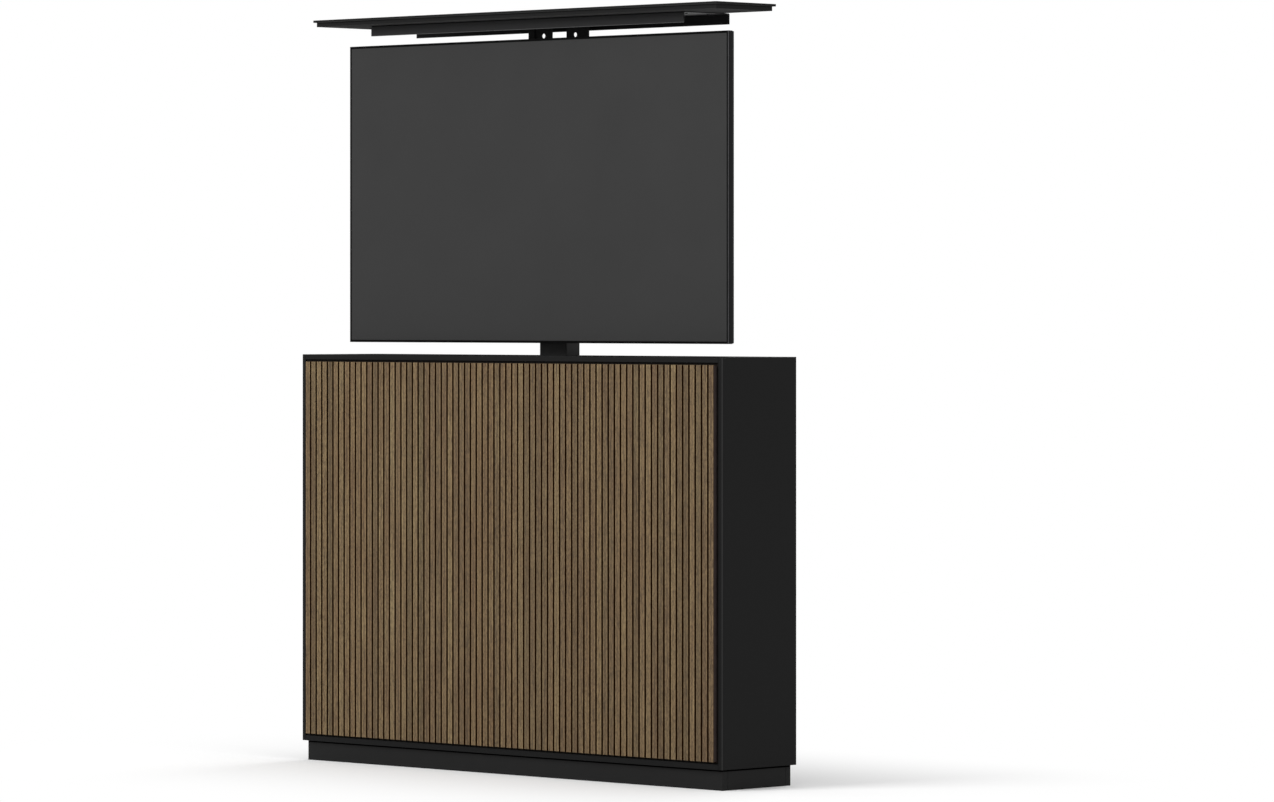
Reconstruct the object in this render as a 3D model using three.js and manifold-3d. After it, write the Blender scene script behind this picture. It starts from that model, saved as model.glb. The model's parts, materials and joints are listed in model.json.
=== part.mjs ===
// TV lift cabinet: a black carcass with a slatted front, a three-part telescopic
// screw column behind the screen, and a lid that rides up with the television.
// Millimetres. +Z is up, the slatted front faces -Y, and +X is to the right.
// The origin is on the floor, under the middle of the whole cabinet.
// The television stands raised, as when it is being watched.
import * as THREE from 'three';
import { mergeVertices } from 'three/addons/utils/BufferGeometryUtils.js';
import Module from 'manifold-3d';

const wasm = await Module();
wasm.setup();

// Fits shared by the whole cabinet
const fitGap = 0.3; // between pieces that are screwed or glued together
const slideGap = 0.4; // between a sliding shoe and the tube that it runs in
const cutOver = 2; // how far a cutting tool runs past a face
const curveParts = 2; // half the straight steps in a rounded corner
const circleParts = 24; // straight steps in a full circle

// Carcass. Its height follows from the television that it swallows.
const cabinetWidth = 1365;
const cabinetDepth = 240;
const sideThickness = 19;
const bottomThickness = 18;
const edgeBand = 12.2; // width of the carcass edge seen round the slatted front
const edgeChamfer = 1.2; // on the cable grommet's rim
const sideChamfer = 2; // along the upright edges of the side panels

// Plinth
const plinthHeight = 46;
const plinthBoard = 16;
const plinthInsetFront = 11;
const plinthInsetBack = 10.5;
const plinthInsetSide = 9.5;
const plinthRailShares = [-1 / 3, 1 / 3]; // places of the cross rails, as shares of the half width

// Slatted front
const slatProud = 7; // how far the slats stand in front of the carcass edge
const slatPanelThickness = 12;
const slatDepth = 9;
const slatPitchAim = 19.26;
const grooveWidth = 4.7;
const slatChamfer = 0.7;
const slatMarginSide = 20.35;
const slatMarginEnd = 17;
const backingThickness = 9;
const cleatWidth = 20;

// Back
const backThickness = 10;
const backInset = 4;
const outletRadius = 30;
const outletFromSide = 233.5; // side panel's inner face to the middle of the cable outlet
const outletHeight = 110; // above the bottom panel
const grommetBore = 25;
const grommetFlange = 36;
const grommetRim = 2.4;
const ventSlotWidth = 8;
const ventSlotLength = 70;
const ventPitch = 20;
const ventCount = 12;
const ventCentreShare = 0.48; // place of each group of slots, as a share of the half width
const ventBelowRail = 90; // from the rear rail down to the middle of the slots
const rearRailHeight = 24;
const stretcherHeight = 100;
const stretcherThickness = 18;
const stretcherBelow = 45.9; // from the outer tube's mouth down to the stretcher

// Lid
const lidInsetSide = 27.3;
const lidInsetFront = 10.1;
const lidInsetBack = 38.2;
const lidLipThickness = 5.4;
const lidCoreThickness = 9.8;
const lidStep = 6; // how far the lip overhangs the core
const lidReveal = 2; // gap round the lowered lid
const lidRestClear = 1.5; // between the lid's core and the strips beside it

// Hood channel under the lid
const hoodLength = 1017;
const hoodInset = 48.9; // from the lid's front edge to the hood's front flange
const hoodBehind = 4.7; // hood's back flange behind the lid's back edge
const hoodHeight = 24.6;
const hoodSheet = 2;
const hoodBend = 3;
const rearRailClear = 2.7; // between the hood's back flange and the rear rail

// Television
const tvWidth = 1230;
const tvHeight = 694;
const tvLift = 28.7; // gap between the cabinet top and the raised television
const tvHeadroom = 20.1; // between the television's top edge and the hood
const tvFootroom = 133.5; // between the lowered television and the bottom panel
const tvFrameDepth = 13.6;
const tvBezel = 5;
const tvEdgeChamfer = 0.8;
const tvScreenRecess = 0.8;
const tvScreenThickness = 11.5;
const tvCoverDepth = 5.8;
const tvCoverInset = 1;
const tvCoverRadius = 2;
const tvHousingWidth = 860;
const tvHousingHeight = 490;
const tvHousingDepth = 14;
const tvHousingRise = 30;
const tvHousingRadius = 18;
const tvHousingTaper = 8;
const tvFrameChamfer = 1; // round the front of the frame
const tvVentWidth = 4;
const tvVentLength = 38;
const tvVentDepth = 4;
const tvVentPitch = 12;
const tvVentRows = 2;
const tvVentRowPitch = 48;
const tvVentBelow = 50; // from the housing's top down to the middle of the first row
const tvVentClear = 18; // from an arm, or the housing's side, to the nearest slot
const tvPortWidth = 144;
const tvPortHeight = 60;
const tvPortDepth = 7;
const tvPortFromSide = 34;
const tvPortRise = 36; // both recesses above the housing's foot
const tvMainsWidth = 74;
const tvMainsHeight = 48;
const tvMainsFromSide = 94;

// Bracket that hangs the television
const vesaWidth = 400;
const vesaHeight = 300;
const vesaHoleRadius = 4.2;
const armWidth = 36;
const armDepth = 9.7;
const armSheet = 2.5;
const armOverhang = 20; // arm past the outer holes, at each end
const armSlotLength = 40;
const armSlotShares = [-0.5, -1 / 6, 1 / 6, 0.5]; // heights of the slots, as shares of the half height
const hangSheet = 3;
const hangCrossHeight = 190;
const hangCrossSpare = 26; // cross plate past the arms' centre lines
const hangNeckWidth = 140;
const hangCrossBelow = 95; // cross plate below the middle of the television
const hangSlotLength = 90;
const hangSlotWidth = 9;
const hangSlotShares = [-0.3, 0.3]; // heights of the slots, as shares of the cross plate
const hangRadius = 10;

// Telescopic column: section sizes of its three tubes, and how far they overlap
const columnBehind = 3.4; // between the outer tube and the stretcher
const columnAhead = 9; // between the outer tube and the hang plate
const middleWidth = 87;
const middleDepth = 46;
const tubeWall = 2.5;
const outerWall = 3;
const tubeGap = 3; // play between two tubes, filled by the shoes and collars
const tubeRadius = 4;
const tubeOverlap = 158.4; // each tube inside the next one out, when raised
const innerProud = 50; // lowered inner tube above the middle one
const middleRest = 10; // lowered middle tube above the foot of the outer tube
const innerRest = 10; // lowered inner tube above the middle tube's nut block
const collarRim = 6;
const collarSkirt = 60;
const shoeLength = 60;
const shoeFoot = 6;
const nutHeight = 30;

// Screws
const lowerScrewRadius = 7;
const upperScrewRadius = 11;
const upperScrewBore = 7.6;
const screwClear = 0.3;
const keyWidth = 3.2;
const keySlotWidth = 4;
const keyRootRadius = 4;
const keyTipRadius = 4.6;
const screwEngagement = 45; // lower screw inside the upper one when raised
const screwSpare = 12; // upper screw past its nut when raised
const screwSeatDepth = 15;

// Foot and drive of the column
const basePlateThickness = 5;
const basePlateWidth = 260;
const basePlateDepth = 98;
const basePlateCentreShare = -0.02; // of its depth, behind the column's centre
const basePlateRadius = 8;
const gearWidth = 104;
const gearDepth = 62;
const gearHeight = 50;
const gearRadius = 8;
const motorRadius = 25;
const motorLength = 128;
const motorAxisHeight = 28;
const motorFlangeRadius = 23.5;
const motorFlangeLength = 9;
const motorCapRadius = 17;
const motorCapLength = 8;
const clampSheet = 3;
const clampHeight = 50;
const clampEar = 26;

// Control box and its lead
const boxWidth = 180;
const boxDepth = 84;
const boxHeight = 40;
const boxRadius = 6;
const boxSeam = 1.2; // groove between the box and its lid
const boxLid = 16;
const leadRun = 132.1; // from the motor's cap to the box
const inletWidth = 30;
const inletHeight = 24;
const inletDepth = 12;
const inletWall = 3;
const leadRadius = 3;
const leadFoot = 14; // straight stretch at each end of the lead
const leadBend = 21; // half the length of each fall and rise
const clipWidth = 12;
const clipWall = 2;
const clipEar = 9;

// Column head and lid brackets
const headPlate = 8;
const headWidth = 204;
const headFlange = 60;
const headPlug = 30;
const bracketInner = 23.3; // from the centre line
const bracketStep = 77.6;
const bracketOuter = 97.8;
const bracketSheet = 2.5;
const bracketJoggle = 3;
const bracketFoot = 24;
const bracketForward = 1.6; // the plates' front faces ahead of the column's centre
const bracketHoleX = 51.4;
const bracketHoleRadius = 5.6;
const bracketHolePitch = 22;
const bracketHoleBelow = 9.8; // from the plate's top edge to the first hole
const bracketHoleAbove = 18; // least height of the last hole above the plate's foot

// Worked-out places
const halfWidth = cabinetWidth / 2;
const frontY = slatProud - (cabinetDepth + slatProud) / 2;
const backY = frontY + cabinetDepth;
const bodyBottom = plinthHeight;
const shelfTop = bodyBottom + bottomThickness;
const lidStack = lidLipThickness + fitGap + lidCoreThickness + fitGap + hoodHeight;
const cabinetHeight = shelfTop + tvFootroom + tvHeight + tvHeadroom + lidStack;
const lidTravel = tvLift + tvHeight + tvHeadroom + lidStack;
const innerHalf = halfWidth - sideThickness - fitGap;
const bandHalf = halfWidth - edgeBand - fitGap;
const slatBackY = frontY - slatProud + slatPanelThickness;
const backingFrontY = slatBackY + fitGap;
const backingBackY = backingFrontY + backingThickness;
const rebateY = backingBackY + fitGap;
const stroke = lidTravel / 2;

const lidTop = cabinetHeight + lidTravel;
const lipBottom = lidTop - lidLipThickness;
const coreTop = lipBottom - fitGap;
const coreBottom = coreTop - lidCoreThickness;
const lipHalf = halfWidth - lidInsetSide;
const lipFrontY = frontY + lidInsetFront;
const lipBackY = backY - lidInsetBack;
const coreHalf = lipHalf - lidStep;
const coreFrontY = lipFrontY + lidStep;
const coreBackY = lipBackY - lidStep;
const hoodTop = coreBottom - fitGap;
const hoodFrontY = lipFrontY + hoodInset;
const hoodBackY = lipBackY + hoodBehind;
const hoodUnder = hoodTop - hoodSheet;

const ledgeTop = cabinetHeight - lidLipThickness - fitGap;
const bandBottom = cabinetHeight - edgeBand;
const rimFrontY = lipFrontY - lidReveal;
const rimHalf = lipHalf + lidReveal;
const rearRailY = hoodBackY + rearRailClear;
const backPanelBackY = backY - backInset;
const backPanelFrontY = backPanelBackY - backThickness;
const stretcherBackY = backPanelFrontY - fitGap;
const stretcherFrontY = stretcherBackY - stretcherThickness;

const outerCavityWidth = middleWidth + 2 * tubeGap;
const outerCavityDepth = middleDepth + 2 * tubeGap;
const outerWidth = outerCavityWidth + 2 * outerWall;
const outerDepth = outerCavityDepth + 2 * outerWall;
const columnY = stretcherFrontY - columnBehind - outerDepth / 2;
const middleCavityWidth = middleWidth - 2 * tubeWall;
const middleCavityDepth = middleDepth - 2 * tubeWall;
const innerWidth = middleCavityWidth - 2 * tubeGap;
const innerDepth = middleCavityDepth - 2 * tubeGap;
const innerCavityWidth = innerWidth - 2 * tubeWall;
const innerCavityDepth = innerDepth - 2 * tubeWall;
const basePlateBottom = shelfTop + fitGap;
const basePlateTop = basePlateBottom + basePlateThickness;
const gearBottom = basePlateTop + fitGap;
const gearTop = gearBottom + gearHeight;
const outerBottom = gearTop + fitGap;
const middleBottom = outerBottom + middleRest + stroke;
const outerTop = middleBottom + tubeOverlap;
const innerBottom = middleBottom + nutHeight + innerRest + stroke;
const middleTop = innerBottom + tubeOverlap;
const innerTop = middleTop + innerProud + stroke;
const stretcherBottom = outerTop - stretcherBelow - stretcherHeight;
const headBottom = innerTop + fitGap;
const headTop = headBottom + headPlate;

// The television hangs ahead of the column: hang plate, arms, housing, cover, frame
const tvBottom = cabinetHeight + tvLift;
const tvCentreZ = tvBottom + tvHeight / 2;
const hangBackY = columnY - outerDepth / 2 - columnAhead;
const hangFrontY = hangBackY - hangSheet;
const armBackY = hangFrontY - fitGap;
const armFrontY = armBackY - armDepth;
const housingBackY = armFrontY - fitGap;
const housingFrontY = housingBackY - tvHousingDepth;
const housingBottom = tvBottom + tvHousingRise;
const tvCoverBackY = housingFrontY - fitGap;
const tvCoverFrontY = tvCoverBackY - tvCoverDepth;
const tvFrameBackY = tvCoverFrontY - fitGap;
const tvFrontY = tvFrameBackY - tvFrameDepth;

const bracketFrontY = columnY - bracketForward;
const outletX = halfWidth - sideThickness - outletFromSide;
const motorStart = gearWidth / 2 + motorFlangeLength + fitGap;
const motorEnd = motorStart + motorLength;
const leadStart = motorEnd + motorCapLength + fitGap;
const boxX = leadStart + leadRun + fitGap;

// Finishes
function finish(color, roughness, metalness = 0) {
  return { color, roughness, metalness };
}
const blackLacquer = finish(0x212121, 0.5);
const walnut = finish(0x7b6950, 0.6);
const blackBoard = finish(0x1a1a1a, 0.7);
const birch = finish(0xc9ad82, 0.7);
const blackSteel = finish(0x1d1d1f, 0.45, 0.6);
const zincSteel = finish(0xa8abad, 0.35, 0.9);
const castAlloy = finish(0x9a9c9f, 0.5, 0.9);
const blackPlastic = finish(0x18181a, 0.5);
const whiteNylon = finish(0xd9d8d2, 0.5);
const screenGlass = finish(0x404040, 0.25);
const frameAlloy = finish(0x232324, 0.4, 0.5);

const cabinet = new THREE.Group();

// Adds one named piece. Its geometry already stands in the cabinet's own frame.
function addPiece(name, geometry, look) {
  const mesh = new THREE.Mesh(geometry, new THREE.MeshStandardMaterial(look));
  mesh.name = name;
  cabinet.add(mesh);
}

function boardGeometry([x0, x1], [y0, y1], [z0, z1]) {
  const geometry = new THREE.BoxGeometry(x1 - x0, y1 - y0, z1 - z0);
  return geometry.translate((x0 + x1) / 2, (y0 + y1) / 2, (z0 + z1) / 2);
}

function outlineShape(points) {
  return new THREE.Shape(points.map(([u, v]) => new THREE.Vector2(u, v)));
}

// A rectangle with round corners, centred on (u, v)
function roundedShape(width, height, radius, u = 0, v = 0, ShapeClass = THREE.Shape) {
  const shape = new ShapeClass();
  const hu = width / 2;
  const hv = height / 2;
  const quarter = Math.PI / 2;
  shape.absarc(u + hu - radius, v + hv - radius, radius, 0, quarter, false);
  shape.absarc(u - hu + radius, v + hv - radius, radius, quarter, 2 * quarter, false);
  shape.absarc(u - hu + radius, v - hv + radius, radius, 2 * quarter, 3 * quarter, false);
  shape.absarc(u + hu - radius, v - hv + radius, radius, 3 * quarter, 4 * quarter, false);
  shape.closePath();
  return shape;
}

function circlePath(radius, u, v) {
  const path = new THREE.Path();
  for (let i = 0; i < circleParts; i += 1) {
    const angle = (2 * Math.PI * i) / circleParts;
    const x = u + radius * Math.cos(angle);
    const y = v + radius * Math.sin(angle);
    if (i === 0) path.moveTo(x, y);
    else path.lineTo(x, y);
  }
  path.closePath();
  return path;
}

function extrude(shape, length) {
  return new THREE.ExtrudeGeometry(shape, {
    depth: length,
    bevelEnabled: false,
    curveSegments: curveParts,
  });
}

// Outline in X and Y, pulled up along Z
function alongZ(shape, z0, z1) {
  return extrude(shape, z1 - z0).translate(0, 0, z0);
}

// Outline in X and Z, pulled along Y
function alongY(shape, y0, y1) {
  return extrude(shape, y1 - y0).rotateX(Math.PI / 2).translate(0, y1, 0);
}

// Outline in Y and Z, pulled along X
function alongX(shape, x0, x1) {
  const turn = new THREE.Matrix4().makeBasis(
    new THREE.Vector3(0, 1, 0),
    new THREE.Vector3(0, 0, 1),
    new THREE.Vector3(1, 0, 0),
  );
  return extrude(shape, x1 - x0).applyMatrix4(turn).translate(x0, 0, 0);
}

function toSolid(geometry) {
  const bare = geometry.clone();
  bare.deleteAttribute('normal');
  bare.deleteAttribute('uv');
  const merged = mergeVertices(bare, 1e-4);
  return new wasm.Manifold(new wasm.Mesh({
    numProp: 3,
    vertProperties: new Float32Array(merged.attributes.position.array),
    triVerts: new Uint32Array(merged.index.array),
  }));
}

function fromSolid(solid) {
  const mesh = solid.getMesh();
  const geometry = new THREE.BufferGeometry();
  geometry.setAttribute('position', new THREE.BufferAttribute(mesh.vertProperties, 3));
  geometry.setIndex(new THREE.BufferAttribute(mesh.triVerts, 1));
  geometry.computeVertexNormals();
  return geometry;
}

function joined(parts, cuts = []) {
  let solid = toSolid(parts[0]);
  for (const part of parts.slice(1)) solid = solid.add(toSolid(part));
  for (const cut of cuts) solid = solid.subtract(toSolid(cut));
  return fromSolid(solid);
}

function mirrorSpan(side, low, high) {
  return side > 0 ? [low, high] : [-high, -low];
}

const sides = [['left', -1], ['right', 1]];

function addPlinth() {
  const half = halfWidth - plinthInsetSide;
  const span = [0, plinthHeight - fitGap];
  const front = frontY + plinthInsetFront;
  const back = backY - plinthInsetBack;
  const between = [front + plinthBoard + fitGap, back - plinthBoard - fitGap];
  addPiece('plinth_front', boardGeometry([-half, half], [front, front + plinthBoard], span), blackLacquer);
  addPiece('plinth_back', boardGeometry([-half, half], [back - plinthBoard, back], span), blackLacquer);
  for (const [side, sign] of sides) {
    const x = mirrorSpan(sign, half - plinthBoard, half);
    addPiece(`plinth_${side}`, boardGeometry(x, between, span), blackLacquer);
  }
  plinthRailShares.forEach((share, i) => {
    const x = share * halfWidth;
    const rail = boardGeometry([x - plinthBoard / 2, x + plinthBoard / 2], between, span);
    addPiece(`plinth_cross_rail_${sides[i][0]}`, rail, birch);
  });
}

// Each side panel has a rebate at its front edge, where the backing board lies
function addSidePanels() {
  const lip = halfWidth - edgeBand;
  const inner = halfWidth - sideThickness;
  const outline = [
    [lip, frontY],
    [halfWidth - sideChamfer, frontY],
    [halfWidth, frontY + sideChamfer],
    [halfWidth, backY - sideChamfer],
    [halfWidth - sideChamfer, backY],
    [inner, backY],
    [inner, rebateY],
    [lip, rebateY],
  ];
  for (const [side, sign] of sides) {
    const points = outline.map(([x, y]) => [sign * x, y]);
    if (sign < 0) points.reverse();
    const panel = alongZ(outlineShape(points), bodyBottom, cabinetHeight);
    addPiece(`side_panel_${side}`, panel, blackLacquer);
  }
}

function addBottomPanel() {
  const board = boardGeometry([-innerHalf, innerHalf], [rebateY, backY], [bodyBottom, shelfTop]);
  const lipTop = bodyBottom + edgeBand;
  const lip = boardGeometry([-bandHalf, bandHalf], [frontY, rebateY - fitGap], [bodyBottom, lipTop]);
  const joint = boardGeometry(
    [-innerHalf, innerHalf],
    [rebateY - edgeBand, rebateY + edgeBand],
    [bodyBottom, lipTop],
  );
  addPiece('bottom_panel', joined([board, lip, joint]), blackLacquer);
}

function addTopFrame() {
  const band = [bandBottom, cabinetHeight];
  const ledge = [bandBottom, ledgeTop];
  addPiece(
    'top_front_rail',
    boardGeometry([-bandHalf, bandHalf], [frontY, rimFrontY], band),
    blackLacquer,
  );
  const rearSpan = [cabinetHeight - rearRailHeight, cabinetHeight];
  addPiece(
    'top_rear_rail',
    boardGeometry([-innerHalf, innerHalf], [rearRailY, backY], rearSpan),
    blackLacquer,
  );
  const along = [rimFrontY + fitGap, rearRailY - fitGap];
  const restHalf = coreHalf + lidRestClear;
  for (const [side, sign] of sides) {
    const rail = boardGeometry(mirrorSpan(sign, rimHalf, innerHalf), along, band);
    addPiece(`top_side_rail_${side}`, rail, blackLacquer);
    const rest = boardGeometry(mirrorSpan(sign, restHalf, rimHalf - fitGap), along, ledge);
    addPiece(`lid_rest_${side}`, rest, blackBoard);
  }
  const frontRest = boardGeometry(
    [fitGap - restHalf, restHalf - fitGap],
    [rimFrontY + fitGap, coreFrontY - lidRestClear],
    ledge,
  );
  addPiece('lid_rest_front', frontRest, blackBoard);
}

// The slatted front is one comb: a thin base with upright slats, each chamfered
function addSlattedFront() {
  const half = halfWidth - slatMarginSide;
  const slatCount = Math.round((2 * half + grooveWidth) / slatPitchAim);
  const pitch = (2 * half + grooveWidth) / slatCount;
  const face = frontY - slatProud;
  const root = face + slatDepth;
  const points = [[half, slatBackY], [-half, slatBackY]];
  for (let i = 0; i < slatCount; i += 1) {
    const left = -half + i * pitch;
    const right = left + pitch - grooveWidth;
    if (i > 0) points.push([left, root]);
    points.push([left, face + slatChamfer]);
    points.push([left + slatChamfer, face]);
    points.push([right - slatChamfer, face]);
    points.push([right, face + slatChamfer]);
    if (i < slatCount - 1) points.push([right, root]);
  }
  const bottom = bodyBottom + slatMarginEnd;
  const top = cabinetHeight - slatMarginEnd;
  addPiece('slat_panel', alongZ(outlineShape(points), bottom, top), walnut);
  const backing = boardGeometry(
    [-bandHalf, bandHalf],
    [backingFrontY, backingBackY],
    [bodyBottom + edgeBand + fitGap, bandBottom - fitGap],
  );
  addPiece('backing_board', backing, blackBoard);
  const cleatTop = bandBottom - lidCoreThickness;
  for (const [side, sign] of sides) {
    const cleat = boardGeometry(
      mirrorSpan(sign, innerHalf - cleatWidth, innerHalf),
      [rebateY, rebateY + cleatWidth],
      [shelfTop + fitGap, cleatTop],
    );
    addPiece(`front_cleat_${side}`, cleat, birch);
  }
}

function addBack() {
  const bottom = shelfTop + fitGap;
  const top = cabinetHeight - rearRailHeight - fitGap;
  const outletZ = shelfTop + outletHeight;
  const panel = outlineShape([
    [-innerHalf, bottom],
    [innerHalf, bottom],
    [innerHalf, top],
    [-innerHalf, top],
  ]);
  panel.holes.push(circlePath(outletRadius, outletX, outletZ));
  for (const [, sign] of sides) {
    for (let i = 0; i < ventCount; i += 1) {
      const x = sign * ventCentreShare * halfWidth + (i - (ventCount - 1) / 2) * ventPitch;
      const z = top - ventBelowRail;
      panel.holes.push(roundedShape(ventSlotWidth, ventSlotLength, ventSlotWidth / 2, x, z, THREE.Path));
    }
  }
  addPiece('back_panel', alongY(panel, backPanelFrontY, backPanelBackY), blackBoard);
  const stretcher = boardGeometry(
    [-innerHalf, innerHalf],
    [stretcherFrontY, stretcherBackY],
    [stretcherBottom, stretcherBottom + stretcherHeight],
  );
  addPiece('rear_stretcher', stretcher, birch);
  const cleatY = [stretcherBackY - cleatWidth, stretcherBackY];
  const spans = [
    ['lower', [bottom, stretcherBottom - fitGap]],
    ['upper', [stretcherBottom + stretcherHeight + fitGap, top]],
  ];
  for (const [side, sign] of sides) {
    for (const [level, span] of spans) {
      const cleat = boardGeometry(mirrorSpan(sign, innerHalf - cleatWidth, innerHalf), cleatY, span);
      addPiece(`back_cleat_${level}_${side}`, cleat, birch);
    }
  }
  addGrommet(outletZ);
}

function addGrommet(outletZ) {
  const barrel = outletRadius - fitGap;
  const rimY = backPanelBackY + fitGap;
  const profile = [
    new THREE.Vector2(grommetBore, backPanelFrontY - backPanelBackY),
    new THREE.Vector2(barrel, backPanelFrontY - backPanelBackY),
    new THREE.Vector2(barrel, fitGap),
    new THREE.Vector2(grommetFlange, fitGap),
    new THREE.Vector2(grommetFlange, rimY - backPanelBackY + grommetRim - edgeChamfer),
    new THREE.Vector2(grommetFlange - edgeChamfer, rimY - backPanelBackY + grommetRim),
    new THREE.Vector2(grommetBore, rimY - backPanelBackY + grommetRim),
    new THREE.Vector2(grommetBore, backPanelFrontY - backPanelBackY),
  ];
  const ring = new THREE.LatheGeometry(profile, circleParts);
  const welded = fromSolid(toSolid(ring));
  addPiece('cable_grommet', welded.translate(outletX, backPanelBackY, outletZ), blackPlastic);
}

// A ring of sheet or plastic round the column's axis, seen from above
function tubeShape(width, depth, cavityWidth, cavityDepth) {
  const shape = roundedShape(width, depth, tubeRadius, 0, columnY);
  const cavityRadius = Math.max(tubeRadius - (width - cavityWidth) / 2, tubeRadius / 4);
  shape.holes.push(roundedShape(cavityWidth, cavityDepth, cavityRadius, 0, columnY, THREE.Path));
  return shape;
}

// A collar closes a tube's mouth and guides the next tube: a rim above, a skirt inside
function collarGeometry(rimSize, cavity, guided, tubeTop) {
  const bore = guided.map((size) => size + 2 * slideGap);
  const skirt = cavity.map((size) => size - 2 * fitGap);
  const rimBottom = tubeTop + fitGap;
  const rim = alongZ(tubeShape(...rimSize, ...bore), rimBottom, rimBottom + collarRim);
  const sleeve = alongZ(tubeShape(...skirt, ...bore), tubeTop - collarSkirt, rimBottom + collarRim / 2);
  return joined([rim, sleeve]);
}

// A foot block plugs a tube from below: it holds the nut and slides in the next tube out
function footGeometry(tube, cavity, runsIn, tubeBottom, boreRadius) {
  const shoe = runsIn.map((size) => size - 2 * slideGap);
  const around = tube.map((size) => size + 2 * fitGap);
  const inside = cavity.map((size) => size - 2 * fitGap);
  const footTop = tubeBottom - fitGap;
  const footBottom = footTop - shoeFoot;
  const sleeve = alongZ(tubeShape(...shoe, ...around), footBottom, tubeBottom + shoeLength);
  const sole = alongZ(roundedShape(...shoe, tubeRadius, 0, columnY), footBottom, footTop);
  const plug = alongZ(
    roundedShape(...inside, tubeRadius / 2, 0, columnY),
    footBottom + shoeFoot / 2,
    tubeBottom + nutHeight,
  );
  const bore = new THREE.Shape(circlePath(boreRadius, 0, columnY).getPoints());
  const drill = alongZ(bore, footBottom - cutOver, tubeBottom + nutHeight + cutOver);
  return joined([sleeve, sole, plug], [drill]);
}

function addColumn() {
  const outerSize = [outerWidth, outerDepth];
  const outerCavity = [outerCavityWidth, outerCavityDepth];
  const middleSize = [middleWidth, middleDepth];
  const middleCavity = [middleCavityWidth, middleCavityDepth];
  const innerSize = [innerWidth, innerDepth];
  const innerCavity = [innerCavityWidth, innerCavityDepth];
  const lowerBore = lowerScrewRadius + screwClear;
  const upperBore = upperScrewRadius + screwClear;

  const outer = alongZ(tubeShape(...outerSize, ...outerCavity), outerBottom, outerTop);
  addPiece('outer_tube', outer, blackSteel);
  const outerCollar = collarGeometry(outerSize, outerCavity, middleSize, outerTop);
  addPiece('outer_guide_collar', outerCollar, blackPlastic);
  const middle = alongZ(tubeShape(...middleSize, ...middleCavity), middleBottom, middleTop);
  addPiece('middle_tube', middle, blackSteel);
  const middleFoot = footGeometry(middleSize, middleCavity, outerCavity, middleBottom, lowerBore);
  addPiece('middle_foot_nut', middleFoot, whiteNylon);
  const middleCollar = collarGeometry(middleSize, middleCavity, innerSize, middleTop);
  addPiece('middle_guide_collar', middleCollar, blackPlastic);
  const inner = alongZ(tubeShape(...innerSize, ...innerCavity), innerBottom, innerTop);
  addPiece('inner_tube', inner, blackSteel);
  const innerFoot = footGeometry(innerSize, innerCavity, middleCavity, innerBottom, upperBore);
  addPiece('inner_foot_nut', innerFoot, whiteNylon);
}

// Points of a circle that is broken by a slot or a key on its +X side
function keyedCircle(radius, halfKey, keyRadius, y) {
  const first = Math.asin(halfKey / radius);
  const points = [];
  for (let i = 0; i <= circleParts; i += 1) {
    const angle = first + ((2 * Math.PI - 2 * first) * i) / circleParts;
    points.push([radius * Math.cos(angle), y + radius * Math.sin(angle)]);
  }
  points.push([keyRadius, y - halfKey]);
  points.push([keyRadius, y + halfKey]);
  return points;
}

// The lower screw turns in the drive's seat. The upper one is hollow: it slides
// over the lower screw, and a key in its bore makes both turn together.
function addScrews() {
  const lowerTop = middleBottom + nutHeight + screwEngagement;
  const lower = outlineShape(keyedCircle(lowerScrewRadius, keySlotWidth / 2, keyRootRadius, columnY));
  addPiece('lower_screw', alongZ(lower, gearTop - screwSeatDepth + fitGap, lowerTop), zincSteel);
  const upperBottom = middleBottom + nutHeight + fitGap;
  const upperTop = innerBottom + nutHeight + screwSpare;
  const upper = new THREE.Shape(circlePath(upperScrewRadius, 0, columnY).getPoints());
  const bore = keyedCircle(upperScrewBore, keyWidth / 2, keyTipRadius, columnY);
  upper.holes.push(new THREE.Path(bore.map(([u, v]) => new THREE.Vector2(u, v))));
  addPiece('upper_screw', alongZ(upper, upperBottom, upperTop), zincSteel);
}

function cylinderX(radius, x0, x1, y, z) {
  const geometry = new THREE.CylinderGeometry(radius, radius, x1 - x0, circleParts);
  return geometry.rotateZ(Math.PI / 2).translate((x0 + x1) / 2, y, z);
}

function addDrive() {
  const plateY = columnY + basePlateCentreShare * basePlateDepth;
  const plate = roundedShape(basePlateWidth, basePlateDepth, basePlateRadius, 0, plateY);
  addPiece('lift_base_plate', alongZ(plate, basePlateBottom, basePlateTop), blackSteel);

  const gearHalf = gearWidth / 2;
  const axisZ = gearBottom + motorAxisHeight;
  const block = alongZ(roundedShape(gearWidth, gearDepth, gearRadius, 0, columnY), gearBottom, gearTop);
  const neckEnd = gearHalf + motorFlangeLength;
  const neck = cylinderX(motorFlangeRadius, gearHalf - cutOver, neckEnd, columnY, axisZ);
  const seatRadius = lowerScrewRadius + screwClear;
  const seatShape = new THREE.Shape(circlePath(seatRadius, 0, columnY).getPoints());
  const seat = alongZ(seatShape, gearTop - screwSeatDepth, gearTop + cutOver);
  addPiece('gear_housing', joined([block, neck], [seat]), castAlloy);

  const can = cylinderX(motorRadius, motorStart, motorEnd, columnY, axisZ);
  const cap = cylinderX(motorCapRadius, motorEnd - cutOver, motorEnd + motorCapLength, columnY, axisZ);
  addPiece('lift_motor', joined([can, cap]), blackSteel);
  addLead([leadStart, columnY, axisZ]);
}

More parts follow.
